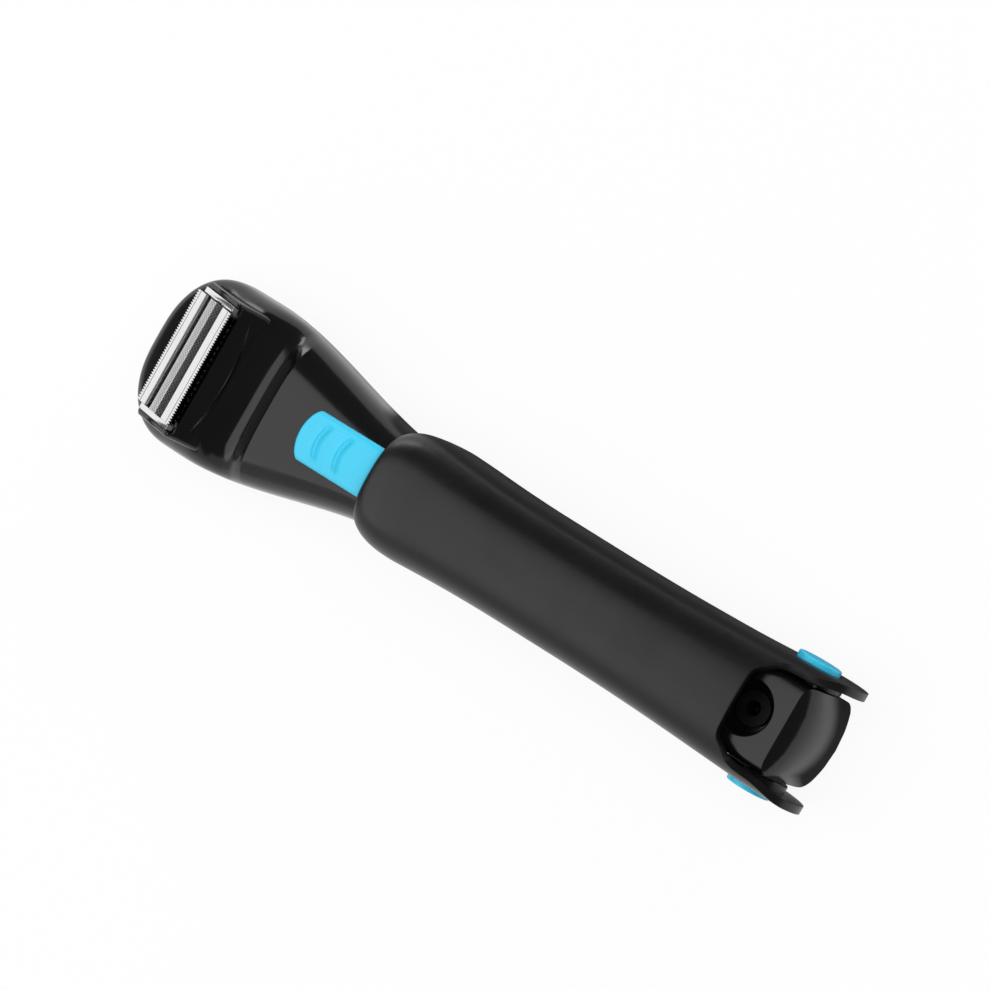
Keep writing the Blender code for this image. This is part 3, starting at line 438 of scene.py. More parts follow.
def side_peg(name, profile, count, hand):
    """A solid turned about the hinge axis, on the left (1) or the right (-1), from such a profile."""
    return ring_solid(name, along_y(turned(np.asarray(profile) * MM, count), hand))


def applied(made):
    """Puts the result of an object's modifiers into its mesh."""
    bpy.context.view_layer.update()
    graph = bpy.context.evaluated_depsgraph_get()
    mesh = bpy.data.meshes.new_from_object(made.evaluated_get(graph))
    made.modifiers.clear()
    old = made.data
    made.data = mesh
    bpy.data.meshes.remove(old)
    return made


def carve(made, tool, how="DIFFERENCE"):
    """Cuts away or joins on what a tool covers, then removes the tool."""
    step = made.modifiers.new(how.lower(), "BOOLEAN")
    step.operation = how
    step.solver = "EXACT"
    step.object = tool
    applied(made)
    clean(made.data, 1e-6)
    bpy.data.objects.remove(tool, do_unlink=True)
    return made


def soften(made, width, angle, segments):
    """Rounds the edges sharper than an angle."""
    step = made.modifiers.new("edges", "BEVEL")
    step.width = width
    step.segments = segments
    step.limit_method = "ANGLE"
    step.angle_limit = np.radians(angle)
    step.use_clamp_overlap = True
    return applied(made)


def put(made, material, body, *nodes, sharp=32.0):
    """Smooth shading, finish, body, and the parts that the piece stands for."""
    made.data.polygons.foreach_set("use_smooth", np.ones(len(made.data.polygons), bool))
    made.data.set_sharp_from_angle(angle=np.radians(sharp))
    made.data.materials.clear()
    made.data.materials.append(material)
    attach(made, body)
    if nodes:
        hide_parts(*nodes)
    return made


def node(tree, kind, values=None, data_type=None, operation=None):
    """A new shader node with its kind of data, its operation and the inputs that nothing feeds."""
    made = tree.nodes.new(kind)
    if data_type:
        made.data_type = data_type
    if operation:
        made.operation = operation
    for socket, value in (values or {}).items():
        made.inputs[socket].default_value = value
    return made


def wire(tree, *rows):
    """Links an output of one node to an input of another, a row at a time."""
    for start, out, end, into in rows:
        tree.links.new(start.outputs[out], end.inputs[into])


def surface_group(name, ins):
    """An empty node group: a vector and the given inputs in, a roughness, a height and a mask out."""
    made = bpy.data.node_groups.new(name, "ShaderNodeTree")
    made.interface.new_socket("Vector", in_out="INPUT", socket_type="NodeSocketVector")
    for label, kind, value in ins:
        made.interface.new_socket(label, in_out="INPUT", socket_type=kind).default_value = value
    for label in ("Roughness", "Height", "Mask"):
        made.interface.new_socket(label, in_out="OUTPUT", socket_type="NodeSocketFloat")
    return made, made.nodes.new("NodeGroupInput"), made.nodes.new("NodeGroupOutput")


def moulded_skin():
    """Group: fine mould grain as a height, and broad handling marks as a roughness and a mask."""
    old = bpy.data.node_groups.get("moulded_skin")
    if old:
        return old
    made, start, end = surface_group("moulded_skin", [
        ("Smooth", "NodeSocketFloat", 0.1), ("Rough", "NodeSocketFloat", 0.2),
        ("Grain", "NodeSocketFloat", 2600.0), ("Marks", "NodeSocketFloat", 55.0)])
    grain = node(made, "ShaderNodeTexNoise", {"Detail": 2.0})
    marks = node(made, "ShaderNodeTexNoise", {"Detail": 5.0, "Roughness": 0.6})
    spread = node(made, "ShaderNodeMapRange", {"From Min": 0.35, "From Max": 0.7})
    wire(made,
         (start, "Vector", grain, "Vector"), (start, "Grain", grain, "Scale"),
         (start, "Vector", marks, "Vector"), (start, "Marks", marks, "Scale"),
         (marks, "Fac", spread, "Value"),
         (start, "Smooth", spread, "To Min"), (start, "Rough", spread, "To Max"),
         (spread, "Result", end, "Roughness"), (grain, "Fac", end, "Height"), (marks, "Fac", end, "Mask"))
    return made


def drawn_metal():
    """Group: fine lines of rolled or ground metal, long along the axis with the smallest scale."""
    old = bpy.data.node_groups.get("drawn_metal")
    if old:
        return old
    made, start, end = surface_group("drawn_metal", [
        ("Across", "NodeSocketVector", (4000.0, 120.0, 4000.0)),
        ("Smooth", "NodeSocketFloat", 0.2), ("Rough", "NodeSocketFloat", 0.38)])
    scale = node(made, "ShaderNodeVectorMath", operation="MULTIPLY")
    lines = node(made, "ShaderNodeTexNoise", {"Scale": 1.0, "Detail": 3.0})
    spread = node(made, "ShaderNodeMapRange", {"From Min": 0.3, "From Max": 0.7})
    wire(made,
         (start, "Vector", scale, 0), (start, "Across", scale, 1), (scale, "Vector", lines, "Vector"),
         (lines, "Fac", spread, "Value"),
         (start, "Smooth", spread, "To Min"), (start, "Rough", spread, "To Max"),
         (spread, "Result", end, "Roughness"), (lines, "Fac", end, "Height"), (lines, "Fac", end, "Mask"))
    return made


def colours():
    """The base colours that the user may change."""
    return bpy.context.scene.groomer_colours


def finish(name, colour, surface, smooth, rough, bump, shade, metal=0.0, pattern=None):
    """A material, built once for each name.

    A surface group feeds the Principled shader: a roughness from smooth to rough, its height as a bump,
    and a base colour that runs by its mask from the colour to the colour times the shade.
    """
    old = bpy.data.materials.get(name)
    if old:
        return old
    made = bpy.data.materials.new(name)
    made.use_nodes = True
    tree = made.node_tree
    shader = tree.nodes["Principled BSDF"]
    shader.inputs["Metallic"].default_value = metal
    spot = node(tree, "ShaderNodeTexCoord")
    skin = node(tree, "ShaderNodeGroup")
    skin.node_tree = surface()
    for socket, value in {"Smooth": smooth, "Rough": rough, **(pattern or {})}.items():
        skin.inputs[socket].default_value = value
    raised = node(tree, "ShaderNodeBump", {"Strength": bump, "Distance": 0.05 * MM})
    shaded = tuple(min(1.0, c * shade) for c in colour[:3]) + (1.0,)
    base = node(tree, "ShaderNodeMix", {"A": tuple(colour), "B": shaded}, data_type="RGBA")
    wire(tree,
         (spot, "Object", skin, "Vector"), (skin, "Roughness", shader, "Roughness"),
         (skin, "Height", raised, "Height"), (raised, "Normal", shader, "Normal"),
         (skin, "Mask", base, "Factor"), (base, "Result", shader, "Base Color"))
    return made


def gloss_black():
    """Polished black moulding with a trace of handling marks."""
    return finish("gloss_black", colours().gloss_black, moulded_skin,
                  smooth=0.15, rough=0.24, bump=0.04, shade=1.6)


def satin_black():
    """Fine-textured black moulding of the handle."""
    return finish("satin_black", colours().satin_black, moulded_skin,
                  smooth=0.30, rough=0.40, bump=0.22, shade=1.5, pattern={"Grain": 3400.0})


def well_black():
    """Dull black moulding of the charging socket."""
    return finish("well_black", colours().gloss_black, moulded_skin,
                  smooth=0.6, rough=0.75, bump=0.2, shade=1.5)


def accent_blue():
    """Semi-gloss blue moulding of the controls."""
    return finish("accent_blue", colours().accent_blue, moulded_skin,
                  smooth=0.26, rough=0.36, bump=0.10, shade=0.9)


def nylon():
    """Natural nylon of the drive mouldings."""
    return finish("nylon", colours().nylon, moulded_skin,
                  smooth=0.40, rough=0.55, bump=0.15, shade=0.92)


def board_green():
    """Solder mask of the circuit board."""
    return finish("board_green", colours().board_green, moulded_skin,
                  smooth=0.28, rough=0.4, bump=0.1, shade=0.8, pattern={"Grain": 1500.0, "Marks": 160.0})


def cell_wrap():
    """Shrunk sleeve of a cell."""
    return finish("cell_wrap", colours().cell_wrap, moulded_skin,
                  smooth=0.2, rough=0.32, bump=0.05, shade=0.85, pattern={"Marks": 90.0})


def bright_steel():
    """Ground steel of the cassette, with lines along the head."""
    return finish("bright_steel", colours().bright_steel, drawn_metal,
                  smooth=0.12, rough=0.24, bump=0.06, shade=0.92, metal=1.0)


def dull_steel():
    """Plain steel of the inner parts, with lines along the groomer."""
    return finish("dull_steel", colours().dull_steel, drawn_metal,
                  smooth=0.22, rough=0.40, bump=0.08, shade=0.8, metal=1.0,
                  pattern={"Across": (150.0, 3200.0, 3200.0)})


def black_steel():
    """Blackened steel of the moving trimmer blades."""
    return finish("black_steel", colours().satin_black, drawn_metal,
                  smooth=0.35, rough=0.5, bump=0.08, shade=1.4, metal=1.0)


def brass():
    """Rolled brass of the cell contacts."""
    return finish("brass", colours().brass, drawn_metal,
                  smooth=0.22, rough=0.36, bump=0.08, shade=0.85, metal=1.0)


def foil_steel():
    """Perforated foil: slanted rows of round holes on the foil's own map, painted in as shade darker than the
    steel.
    """
    old = bpy.data.materials.get("foil_steel")
    if old:
        return old
    made = finish("foil_steel", colours().bright_steel, drawn_metal,
                  smooth=0.48, rough=0.62, bump=0.08, shade=0.85, metal=1.0)
    tree = made.node_tree
    base = tree.nodes["Principled BSDF"].inputs["Base Color"]
    spot = node(tree, "ShaderNodeUVMap")
    spot.uv_map = "foil_map"
    turn = node(tree, "ShaderNodeMapping", {"Rotation": (0.0, 0.0, np.radians(45.0)),
                                            "Scale": (1300.0, 1300.0, 1.0)})
    holes = node(tree, "ShaderNodeTexVoronoi", {"Scale": 1.0, "Randomness": 0.0})
    # Painted shade: the holes are not cut, and the base colour turns to a darker grey inside each round spot
    edge = node(tree, "ShaderNodeMapRange", {"From Min": 0.34, "From Max": 0.28})
    dark = node(tree, "ShaderNodeMix", {"B": (0.45, 0.45, 0.46, 1.0)}, data_type="RGBA")
    wire(tree,
         (spot, "UV", turn, "Vector"), (turn, "Vector", holes, "Vector"),
         (holes, "Distance", edge, "Value"), (edge, "Result", dark, "Factor"))
    tree.links.new(base.links[0].from_socket, dark.inputs["A"])
    tree.links.new(dark.outputs["Result"], base)
    return made


class GROOMER_OT_casing(bpy.types.Operator):
    """Front and rear casing halves with the head's mouth, the switch slot and the screw seats"""
    bl_idname = "groomer.casing"
    bl_label = "Casing halves"

    def execute(self, context):
        wall = context.scene.groomer_sizes.casing_wall
        x = spaced(CASING_MARKS, 3)
        inside = np.linspace(-105.6 * MM, 80.0 * MM, 150)
        self.front(x, inside, wall)
        self.rear(x, inside, wall)
        return {"FINISHED"}

    def front(self, x, inside, wall):
        """Upper half, hollowed, with the mouth that holds the head cap and the slot of the switch's stem."""
        low = SPLIT_Z + GAP / 2.0
        half = ring_solid("casing_front", upper_rings(x, 0.0, low, 81))
        room = upper_rings(inside, wall, low, 49)
        room[:, 0, 2] = room[:, -1, 2] = SPLIT_Z - 1.0 * MM
        carve(half, ring_solid("room", room))
        mouth = head_outline(APRON_BULGE, 0.1 * MM)
        depths = (-FRAME_DEPTH - 0.6 * MM, THROUGH * MM)
        carve(half, ring_solid("mouth", np.stack([head_points(mouth[:, 0], mouth[:, 1], n) for n in depths])))
        carve(half, block("slot", (STEM_X - 3.6 * MM - SWITCH_TRAVEL, -2.4 * MM, 22.0 * MM),
                          (STEM_X + 3.6 * MM, 2.4 * MM, 30.0 * MM)))
        put(half, gloss_black(), "shaver_body", "front_casing")

    def rear(self, x, inside, wall):
        """Lower half, hollowed, with a stepped seat for each screw and a pad under the front pair."""
        high = SPLIT_Z - GAP / 2.0
        half = ring_solid("casing_rear", lower_rings(x, 0.0, high, 65))
        room = lower_rings(inside, wall, high, 41)
        room[:, 0, 2] = room[:, -1, 2] = SPLIT_Z + 1.0 * MM
        carve(half, ring_solid("room", room))
        for sx, sy, seat in SCREWS:
            at = (sx * MM, sy * MM)
            if seat > 2.0:
                carve(half, peg("pad", rod(3.2, 4.1, 1.2), 48, *at), "UNION")
            profile = [(0.0, 6.0), (PILOT_RADIUS, 6.0), (PILOT_RADIUS, seat), (2.3, seat), (2.3, 0.25),
                       (2.6, -0.05), (2.6, -3.0), (0.0, -3.0)]
            carve(half, peg("seat", profile, 40, *at))
        put(half, gloss_black(), "shaver_body", "rear_casing")


class GROOMER_OT_hinge_block(bpy.types.Operator):
    """Tail moulding between the handle's ears, with the charging well and the convex end"""
    bl_idname = "groomer.hinge_block"
    bl_label = "Hinge block"

    def execute(self, context):
        # Rows along the tail from its plug, then shrunk copies of the rim carried over the convex end
        plug = context.scene.groomer_sizes.casing_wall + GAP
        start = CASING_END + GAP
        rim = self.ring(100.0 * MM, 0.0)
        edge = self.end_x(rim[:, 1], rim[:, 2])
        rows = [self.ring(66.0 * MM, plug), self.ring(start, plug), self.ring(start, 0.0)]
        for t in np.linspace(0.0, 1.0, 16)[1:]:
            row = self.ring(float(start * (1.0 - t) + CREASE_X * t), 0.0)
            row[:, 0] = start * (1.0 - t) + edge * t
            rows.append(row)
        middle = np.array([0.0, 0.0, 0.5 * TAIL_Z])
        for t in np.linspace(1.0, 0.0, 22)[1:-1]:
            row = middle + (rim - middle) * t
            row[:, 0] = self.end_x(row[:, 1], row[:, 2])
            rows.append(row)
        tail = ring_solid("hinge_tail", np.stack(rows))

        well = [(0.0, 40.0), (7.7, 40.0), (7.7, 25.1), (7.0, 24.5), (7.0, 18.0), (0.0, 18.0)]
        well = turned(rounded(np.array(well) * MM, 0.35 * MM), 64) + np.array([WELL_X, 0.0, 0.0])
        carve(tail, ring_solid("well", well))
        carve(tail, peg("seat", rod(3.4, 20.0, 9.0), 32, WELL_X))
        carve(tail, side_peg("bore", rod(BORE_RADIUS, THROUGH, -THROUGH), 40, 1))
        for x, y, _ in SCREWS[2:]:
            carve(tail, peg("pilot", rod(PILOT_RADIUS, 10.6, -2.0), 20, x * MM, y * MM))
        put(tail, gloss_black(), "shaver_body", "hinge_block")
        return {"FINISHED"}

    def ring(self, x, inset, count=160):
        """Section at x: superellipses above and below the split, whose powers rise over 8 mm."""
        angle = np.linspace(0.0, 2.0 * np.pi, count, endpoint=False)
        c, s = np.cos(angle), np.sin(angle)
        square = ease((x - CASING_END) / (8.0 * MM))
        power = np.where(s >= 0.0, 5.0 + 6.0 * square, LOWER_POWER + 4.5 * square)
        y = (GRIP_HALF - inset) * np.sign(c) * np.abs(c) ** (2.0 / power)
        rise = np.where(s >= 0.0, TAIL_Z - SPLIT_Z - inset, SPLIT_Z + FLAT_CUT - inset)
        z = np.maximum(SPLIT_Z + rise * np.sign(s) * np.abs(s) ** (2.0 / power), inset)
        return np.stack([np.full(count, x), y, z], -1)

    def end_x(self, y, z):
        """Convex end from the crease: x falls as 0.45 q^2 + 0.55 q^8 in height and as y^2 across."""
        q = np.abs((z - 4.0 * MM) / (21.0 * MM))
        drop = 1.0 - 0.45 * q ** 2 - 0.55 * q ** 8
        return CREASE_X + TAIL_CROWN * drop - TAIL_BOW * (y / GRIP_HALF) ** 2 * np.clip(drop, 0.0, 1.0)


class GROOMER_OT_head_cap(bpy.types.Operator):
    """Black cap of the foil head with its apron, the cassette's seat and a finger dimple at each end"""
    bl_idname = "groomer.head_cap"
    bl_label = "Head cap"

    def execute(self, context):
        # Rows up the cap: the apron's bulge eases out, and the lip rounds in as a quarter circle
        levels = np.concatenate([[-FRAME_DEPTH, -9.5 * MM], np.linspace(-8.4, -3.6, 49) * MM,
                                 np.array([-2.8, -1.4, -1.0, -0.72, -0.56, -0.5]) * MM])
        bulge = APRON_BULGE * (1.0 - ease((levels + 8.0 * MM) / (6.8 * MM)))
        lip = np.clip((levels + 1.2 * MM) / (0.7 * MM), 0.0, 1.0)
        shrink = -0.6 * MM * (1.0 - np.sqrt(1.0 - lip ** 2))
        rows = [self.row(*place) for place in zip(levels, bulge, shrink)]
        cap = ring_solid("head_cap", np.stack(rows))
        carve(cap, head_block("hollow", 8.6, 17.3, -THROUGH, THROUGH))
        carve(cap, head_block("seat", 9.6, CASSETTE_SEAT_V, -3.9, THROUGH))
        carve(cap, head_block("relief", THROUGH, CASSETTE_SEAT_V, -2.0, THROUGH))
        soften(cap, 0.18 * MM, 50.0, 2)
        a = np.linspace(0.0, np.pi, 13)[:, None]
        for end in (1.0, -1.0):
            ball = turned(np.concatenate([np.sin(a), np.cos(a)], 1), 40) * np.array([3.2, 0.55, 0.6]) * MM
            dimple = head_points(ball[..., 0], end * 18.95 * MM + ball[..., 1], ball[..., 2] - 0.45 * MM)
            carve(cap, ring_solid("dimple", dimple))
        put(cap, gloss_black(), "foil_head", "head_frame")
        return {"FINISHED"}

    def row(self, level, bulge, grow):
        """Outline at a level, with a raised bead on the apron: a bell across a parabola of the width."""
        outline = head_outline(bulge, grow)
        smile = -7.1 * MM + 2.7 * MM * (outline[:, 1] / (18.0 * MM)) ** 2
        bead = 0.3 * MM * np.exp(-((level - smile) / (0.3 * MM)) ** 2)
        bead = bead * (outline[:, 0] > 0.0) * ease((17.6 * MM - np.abs(outline[:, 1])) / (6.0 * MM))
        return head_points(outline[:, 0] + bead, outline[:, 1], level)


class GROOMER_OT_cassette(bpy.types.Operator):
    """Steel cassette: its tray, the two comb plates and the crowned foil between them"""
    bl_idname = "groomer.cassette"
    bl_label = "Foil cassette"

    def execute(self, context):
        sizes = context.scene.groomer_sizes
        tray = head_block("cassette_tray", 9.3, 18.05, -3.6, 0.0)
        carve(tray, head_block("hollow", 8.3, 16.5, -THROUGH, THROUGH))
        carve(tray, head_block("sides", THROUGH, 16.5, -2.3, THROUGH))
        soften(tray, 0.16 * MM, 50.0, 2)
        put(tray, bright_steel(), "foil_head", "cassette_frame")
        self.combs(sizes.comb_teeth)
        self.foil(sizes.foil_rise)
        return {"FINISHED"}

    def combs(self, teeth):
        """Comb plates: a folded lip, a plate with a pressed line, and teeth as a power of the pitch."""
        pitch = 2.0 * COMB_HALF / teeth
        share = np.array([0.0, 0.03, 0.06, 0.10, 0.16, 0.24, 0.33, 0.41, 0.46])
        share = np.concatenate([share, [0.5], 1.0 - share[:0:-1]])
        tooth = np.clip(1.0 - np.abs(share - 0.5) / 0.44, 0.0, 1.0) ** 0.55
        v = (-COMB_HALF + pitch * (np.arange(teeth)[:, None] + share[None, :])).reshape(-1)
        v = np.append(v, COMB_HALF)[:, None]
        tip = np.append(np.tile(tooth, teeth), 0.0)[:, None]
        lip = np.array([(5.3, -1.7), (5.3, 0.2), (5.32, 0.6), (5.42, 0.78), (5.7, 0.84)]) * MM
        plate = np.array([(6.6, 0.0), (7.6, 0.0), (8.6, 0.0), (9.3, 0.0), (9.38, -0.16), (9.6, -0.16),
                          (9.68, 0.0), (10.1, 0.0)]) * MM + np.array([0.0, lip[-1, 1]])
        w = np.linspace(0.0, 1.0, 6)[None, :]
        for side, name in ((1.0, "front"), (-1.0, "rear")):
            flange = np.ones_like(v)
            u = 10.3 * MM + (0.05 + 1.35 * tip) * MM * w
            n = np.full_like(u, lip[-1, 1])
            u = np.concatenate([flange * lip[:, 0], flange * plate[:, 0], u], 1)
            n = np.concatenate([flange * lip[:, 1], flange * plate[:, 1], n], 1)
            n = n + side * 0.05 * np.maximum(u - lip[-1, 0], 0.0)
            outer = head_points(side * u, v, n)
            inner = head_points(side * (u + 0.35 * MM * (n < 0.6 * MM) * (u < 5.4 * MM)), v, n - 0.45 * MM)
            comb = wall_solid("comb_" + name + "_plate", outer, inner, quads(*outer.shape[:2]))
            put(comb, bright_steel(), "foil_head", "comb_" + name)

    def foil(self, rise):
        """Foil: n = base + rise (1 - w^2) across, a straight skirt at each side, and a map for its holes."""
        w = np.linspace(-1.0, 1.0, 41)[None, :]
        v = np.linspace(-COMB_HALF, COMB_HALF, 61)[:, None]
        crown = FOIL_BASE + rise * (1.0 - w * w)
        skirt = np.linspace(-1.4 * MM, 0.9 * MM, 6)[None, :]
        u = np.concatenate([np.full((1, 6), -FOIL_HALF), FOIL_HALF * w, np.full((1, 6), FOIL_HALF)], 1)
        n = np.concatenate([skirt, crown, skirt[:, ::-1]], 1)
        outer = head_points(u, v, n)
        inner = head_points(u * 0.84, v, n - 0.3 * MM * (n > 0.95 * MM))
        sheet = wall_solid("foil_sheet", outer, inner, quads(*outer.shape[:2]))

        spots = np.empty(len(sheet.data.vertices) * 3)
        sheet.data.vertices.foreach_get("co", spots)
        x, y, z = spots.reshape(-1, 3).T
        corner = np.empty(len(sheet.data.loops), int)
        sheet.data.loops.foreach_get("vertex_index", corner)
        across = (x - HEAD_X) * np.cos(HEAD_TILT) + (z - HEAD_Z) * np.sin(HEAD_TILT)
        out = (z - HEAD_Z) * np.cos(HEAD_TILT) - (x - HEAD_X) * np.sin(HEAD_TILT)
        across = across * 1.15 + np.sign(across) * np.maximum(FOIL_BASE - out, 0.0)
        chart = np.stack([y, across], -1)[corner]
        sheet.data.uv_layers.new(name="foil_map").data.foreach_set("uv", chart.reshape(-1))
        put(sheet, foil_steel(), "foil_head", "shaving_foil")


class GROOMER_OT_switch(bpy.types.Operator):
    """Blue slide switch with a bowed front edge and two curved thumb ridges"""
    bl_idname = "groomer.switch"
    bl_label = "Slide switch"

    def execute(self, context):
        sizes = context.scene.groomer_sizes
        long, half = SWITCH_LENGTH * MM, SWITCH_HALF * MM
        edge = np.array([0.0, 0.06, 0.16, 0.3, 0.5, 0.75]) * MM
        run = np.concatenate([edge, np.linspace(1.0, 16.0, 91) * MM, np.linspace(16.6, 22.8, 9) * MM,
                              long - edge[4::-1]])[:, None]
        side = np.concatenate([edge, np.linspace(1.0, SWITCH_HALF, 22) * MM])
        y = np.concatenate([-half + side, (half - side)[::-1][1:]])[None, :]
        w = y / half
        bowed = (2.2 * w ** 2 + 0.8 * w ** 10) * MM * np.clip(1.0 - run / long, 0.0, 1.0)
        x = SWITCH_FRONT * MM + run + bowed
        # Lift over the casing: a quarter round at the rim, and a bell across the parabola of each ridge
        near = np.minimum(np.minimum(run, long - run), half - np.abs(y))
        near = np.clip(near / (0.9 * MM), 0.0, 1.0)
        lift = sizes.switch_rise * (0.25 + 0.75 * np.sqrt(1.0 - (1.0 - near) ** 2))
        reach = ease((0.74 - np.abs(w)) / 0.2)
        for place in SWITCH_RIDGES:
            middle = place * MM
            bow = middle + (0.5 * MM + 2.2 * MM * middle / long) * w * w
            lift = lift + sizes.ridge_rise * reach * np.exp(-((run - bow) / (0.8 * MM)) ** 2)
        foot = casing_top(x, y) + 0.4 * MM
        top = np.stack(np.broadcast_arrays(x, y, foot + lift), -1)
        low = np.stack(np.broadcast_arrays(x, y, foot), -1)
        slide = wall_solid("slide_switch", top, low, quads(*top.shape[:2]))
        carve(slide, block("stem", (STEM_X - 3.2 * MM, -2.0 * MM, 23.8 * MM),
                           (STEM_X + 3.2 * MM, 2.0 * MM, 27.2 * MM)), "UNION")
        carve(slide, block("pocket", (STEM_X - 1.2 * MM, -1.1 * MM, 20.0 * MM),
                           (STEM_X + 1.2 * MM, 1.1 * MM, 25.7 * MM)))
        put(slide, accent_blue(), "switch", "switch_slider")
        return {"FINISHED"}


class GROOMER_OT_handle(bpy.types.Operator):
    """Fold-over handle: an arched channel with a rounded lip, a window at the hinge and two ears"""
    bl_idname = "groomer.handle"
    bl_label = "Handle"
    side_steps = 22
    window_steps = 20
    ear_rows = 26

    def execute(self, context):
        sizes = context.scene.groomer_sizes
        body = self.channel()
        outer = np.concatenate([body, self.ears(body[-1, :self.side_steps + 1][:, [0, 2]])])
        rows, cols = outer.shape[:2]
        cells = quads(rows, cols).reshape(rows - 1, cols - 1, 4)
        keep = np.ones(cells.shape[:2], bool)
        keep[len(body) - 1:, self.side_steps:self.side_steps + self.window_steps] = False
        shell = wall_solid("handle_channel", outer, self.inside(outer, sizes.handle_wall), cells[keep])
        soften(shell, sizes.handle_edge, 48.0, 3)

        for rib in HANDLE_RIBS:
            low = float(along(TOP_LINE, rib)) + GAP + 0.1 * MM
            tool = block("rib", (rib - 1.0 * MM, -8.5 * MM, low), (rib + 1.0 * MM, 8.5 * MM, 30.2 * MM))
            carve(shell, tool, "UNION")
        boss = [(0.0, 15.6), (8.5, 15.6), (8.5, 13.1), (8.3, 12.9), (0.0, 12.9)]
        pocket = [(0.0, 25.0), (7.1, 25.0), (7.1, 17.3), (6.3, 16.4), (6.3, 14.2), (0.0, 14.2)]
        for hand in (1, -1):
            carve(shell, side_peg("boss", boss, 64, hand), "UNION")
            carve(shell, side_peg("pocket", pocket, 64, hand))
            carve(shell, side_peg("bore", rod(BORE_RADIUS, 18.0, 10.0), 40, hand))
        put(shell, satin_black(), "handle", "handle_shell")
        return {"FINISHED"}

    def channel(self):
        """Rows up to the window: a superellipse over the arch's base, y = a cos^(2/p), z = b sin^(2/p).

        Below the base the angle runs on under nought, and z falls straight with it.
        """
        x = spaced(HANDLE_MARKS, 4)[:, None]
        half = along(HANDLE_HALF, x)
        rise = along(HANDLE_TOP, x) - ARCH_BASE
        foot = along(HANDLE_FOOT, x)
        under = (foot - ARCH_BASE) / SKIRT_PACE
        over = np.clip((foot - ARCH_BASE) / rise, 0.0, 1.0)
        start = np.where(foot < ARCH_BASE, under, np.arcsin(over ** (ARCH_POWER / 2.0)))
        turn = np.arccos(np.clip(WINDOW_FLAT / half, 0.0, 1.0) ** (ARCH_POWER / 2.0))
        left = start + (turn - start) * np.linspace(0.0, 1.0, self.side_steps + 1)[None, :]
        across = turn + (np.pi - 2.0 * turn) * np.linspace(0.0, 1.0, self.window_steps + 1)[None, 1:]
        angle = np.concatenate([left, across, np.pi - left[:, ::-1][:, 1:]], 1)
        c, s = np.cos(np.clip(angle, 0.0, np.pi)), np.sin(np.clip(angle, 0.0, np.pi))
        y = half * np.sign(c) * np.abs(c) ** (2.0 / ARCH_POWER)
        z = ARCH_BASE + rise * np.clip(s, 0.0, 1.0) ** (2.0 / ARCH_POWER)
        z = z + SKIRT_PACE * np.minimum(angle, 0.0) + SKIRT_PACE * np.minimum(np.pi - angle, 0.0)
        return np.stack(np.broadcast_arrays(x, y, z), -1)

    def ears(self, near):
        """Rows of both ears past the window: a Coons patch in (x, z) between the last row and the round tip.

        Its sides are the ear's upper and lower edges, and y follows the arch.
        """
        t = np.linspace(0.0, 1.0, self.ear_rows + 1)[1:]
        t = t * (0.55 + 0.45 * t)
        fine = np.linspace(EAR_TOP[0][0], EAR_TOP[-1][0], 120) * MM
        top_edge = np.stack([fine, along(EAR_TOP, fine)], -1)
        high = self.walk(np.concatenate([top_edge, self.arc(90.0, 55.0)[1:]]), t)
        low = self.walk(np.concatenate([np.asarray(EAR_FOOT) * MM, self.arc(-125.0, -55.0)[1:]]), t)
        share = np.linalg.norm(np.diff(near, axis=0), axis=1)
        share = np.concatenate([[0.0], np.cumsum(share)]) / share.sum()
        low = low + (near[0] - np.asarray(EAR_FOOT[0]) * MM) * (1.0 - t)[:, None]
        high = high + (near[-1] - np.asarray(EAR_TOP[0]) * MM) * (1.0 - t)[:, None] ** 8
        tip = self.walk(self.arc(-55.0, 55.0), share)
        t, q = t[:, None, None], share[None, :, None]
        patch = ((1.0 - q) * low[:, None] + q * high[:, None] + (1.0 - t) * near[None] + t * tip[None]
                 - (1.0 - t) * ((1.0 - q) * near[:1][None] + q * near[-1:][None])
                 - t * ((1.0 - q) * tip[:1][None] + q * tip[-1:][None]))
        x, z = patch[..., 0], patch[..., 1]
        level = np.clip((z - ARCH_BASE) / (along(HANDLE_TOP, x) - ARCH_BASE), 0.0, 0.999)
        y = along(HANDLE_HALF, x) * (1.0 - level ** ARCH_POWER) ** (1.0 / ARCH_POWER)
        both = np.zeros((self.ear_rows, 2 * self.side_steps + self.window_steps + 1, 3))
        both[:, :self.side_steps + 1] = np.stack([x, y, z], -1)
        both[:, -self.side_steps - 1:] = np.stack([x, -y, z], -1)[:, ::-1]
        return both

    def walk(self, points, t):
        """Points at shares of the length of a run of straight steps."""
        points = np.asarray(points, float)
        run = np.concatenate([[0.0], np.cumsum(np.linalg.norm(np.diff(points, axis=0), axis=1))])
        return np.stack([np.interp(t, run / run[-1], points[:, k]) for k in range(2)], -1)

    def arc(self, first, last, count=40):
        """Points of the ear's round end between two angles in degrees."""
        a = np.radians(np.linspace(first, last, count))
        return np.stack([EAR_X + EAR_RADIUS * np.cos(a), EAR_Z + EAR_RADIUS * np.sin(a)], -1)

    def inside(self, outer, wall):
        """Inner face: each point moved in by the wall along the slope of the section's superellipse."""
        x, y, z = outer[..., 0], outer[..., 1], outer[..., 2]
        half = along(HANDLE_HALF, x)
        rise = along(HANDLE_TOP, x) - ARCH_BASE
        side = (np.abs(y) / half) ** (ARCH_POWER - 1.0) / half * np.sign(y)
        up = np.clip((z - ARCH_BASE) / rise, 0.0, None) ** (ARCH_POWER - 1.0) / rise
        size = np.maximum(np.hypot(side, up), 1e-9)
        return outer - wall * np.stack([np.zeros_like(x), side / size, up / size], -1)


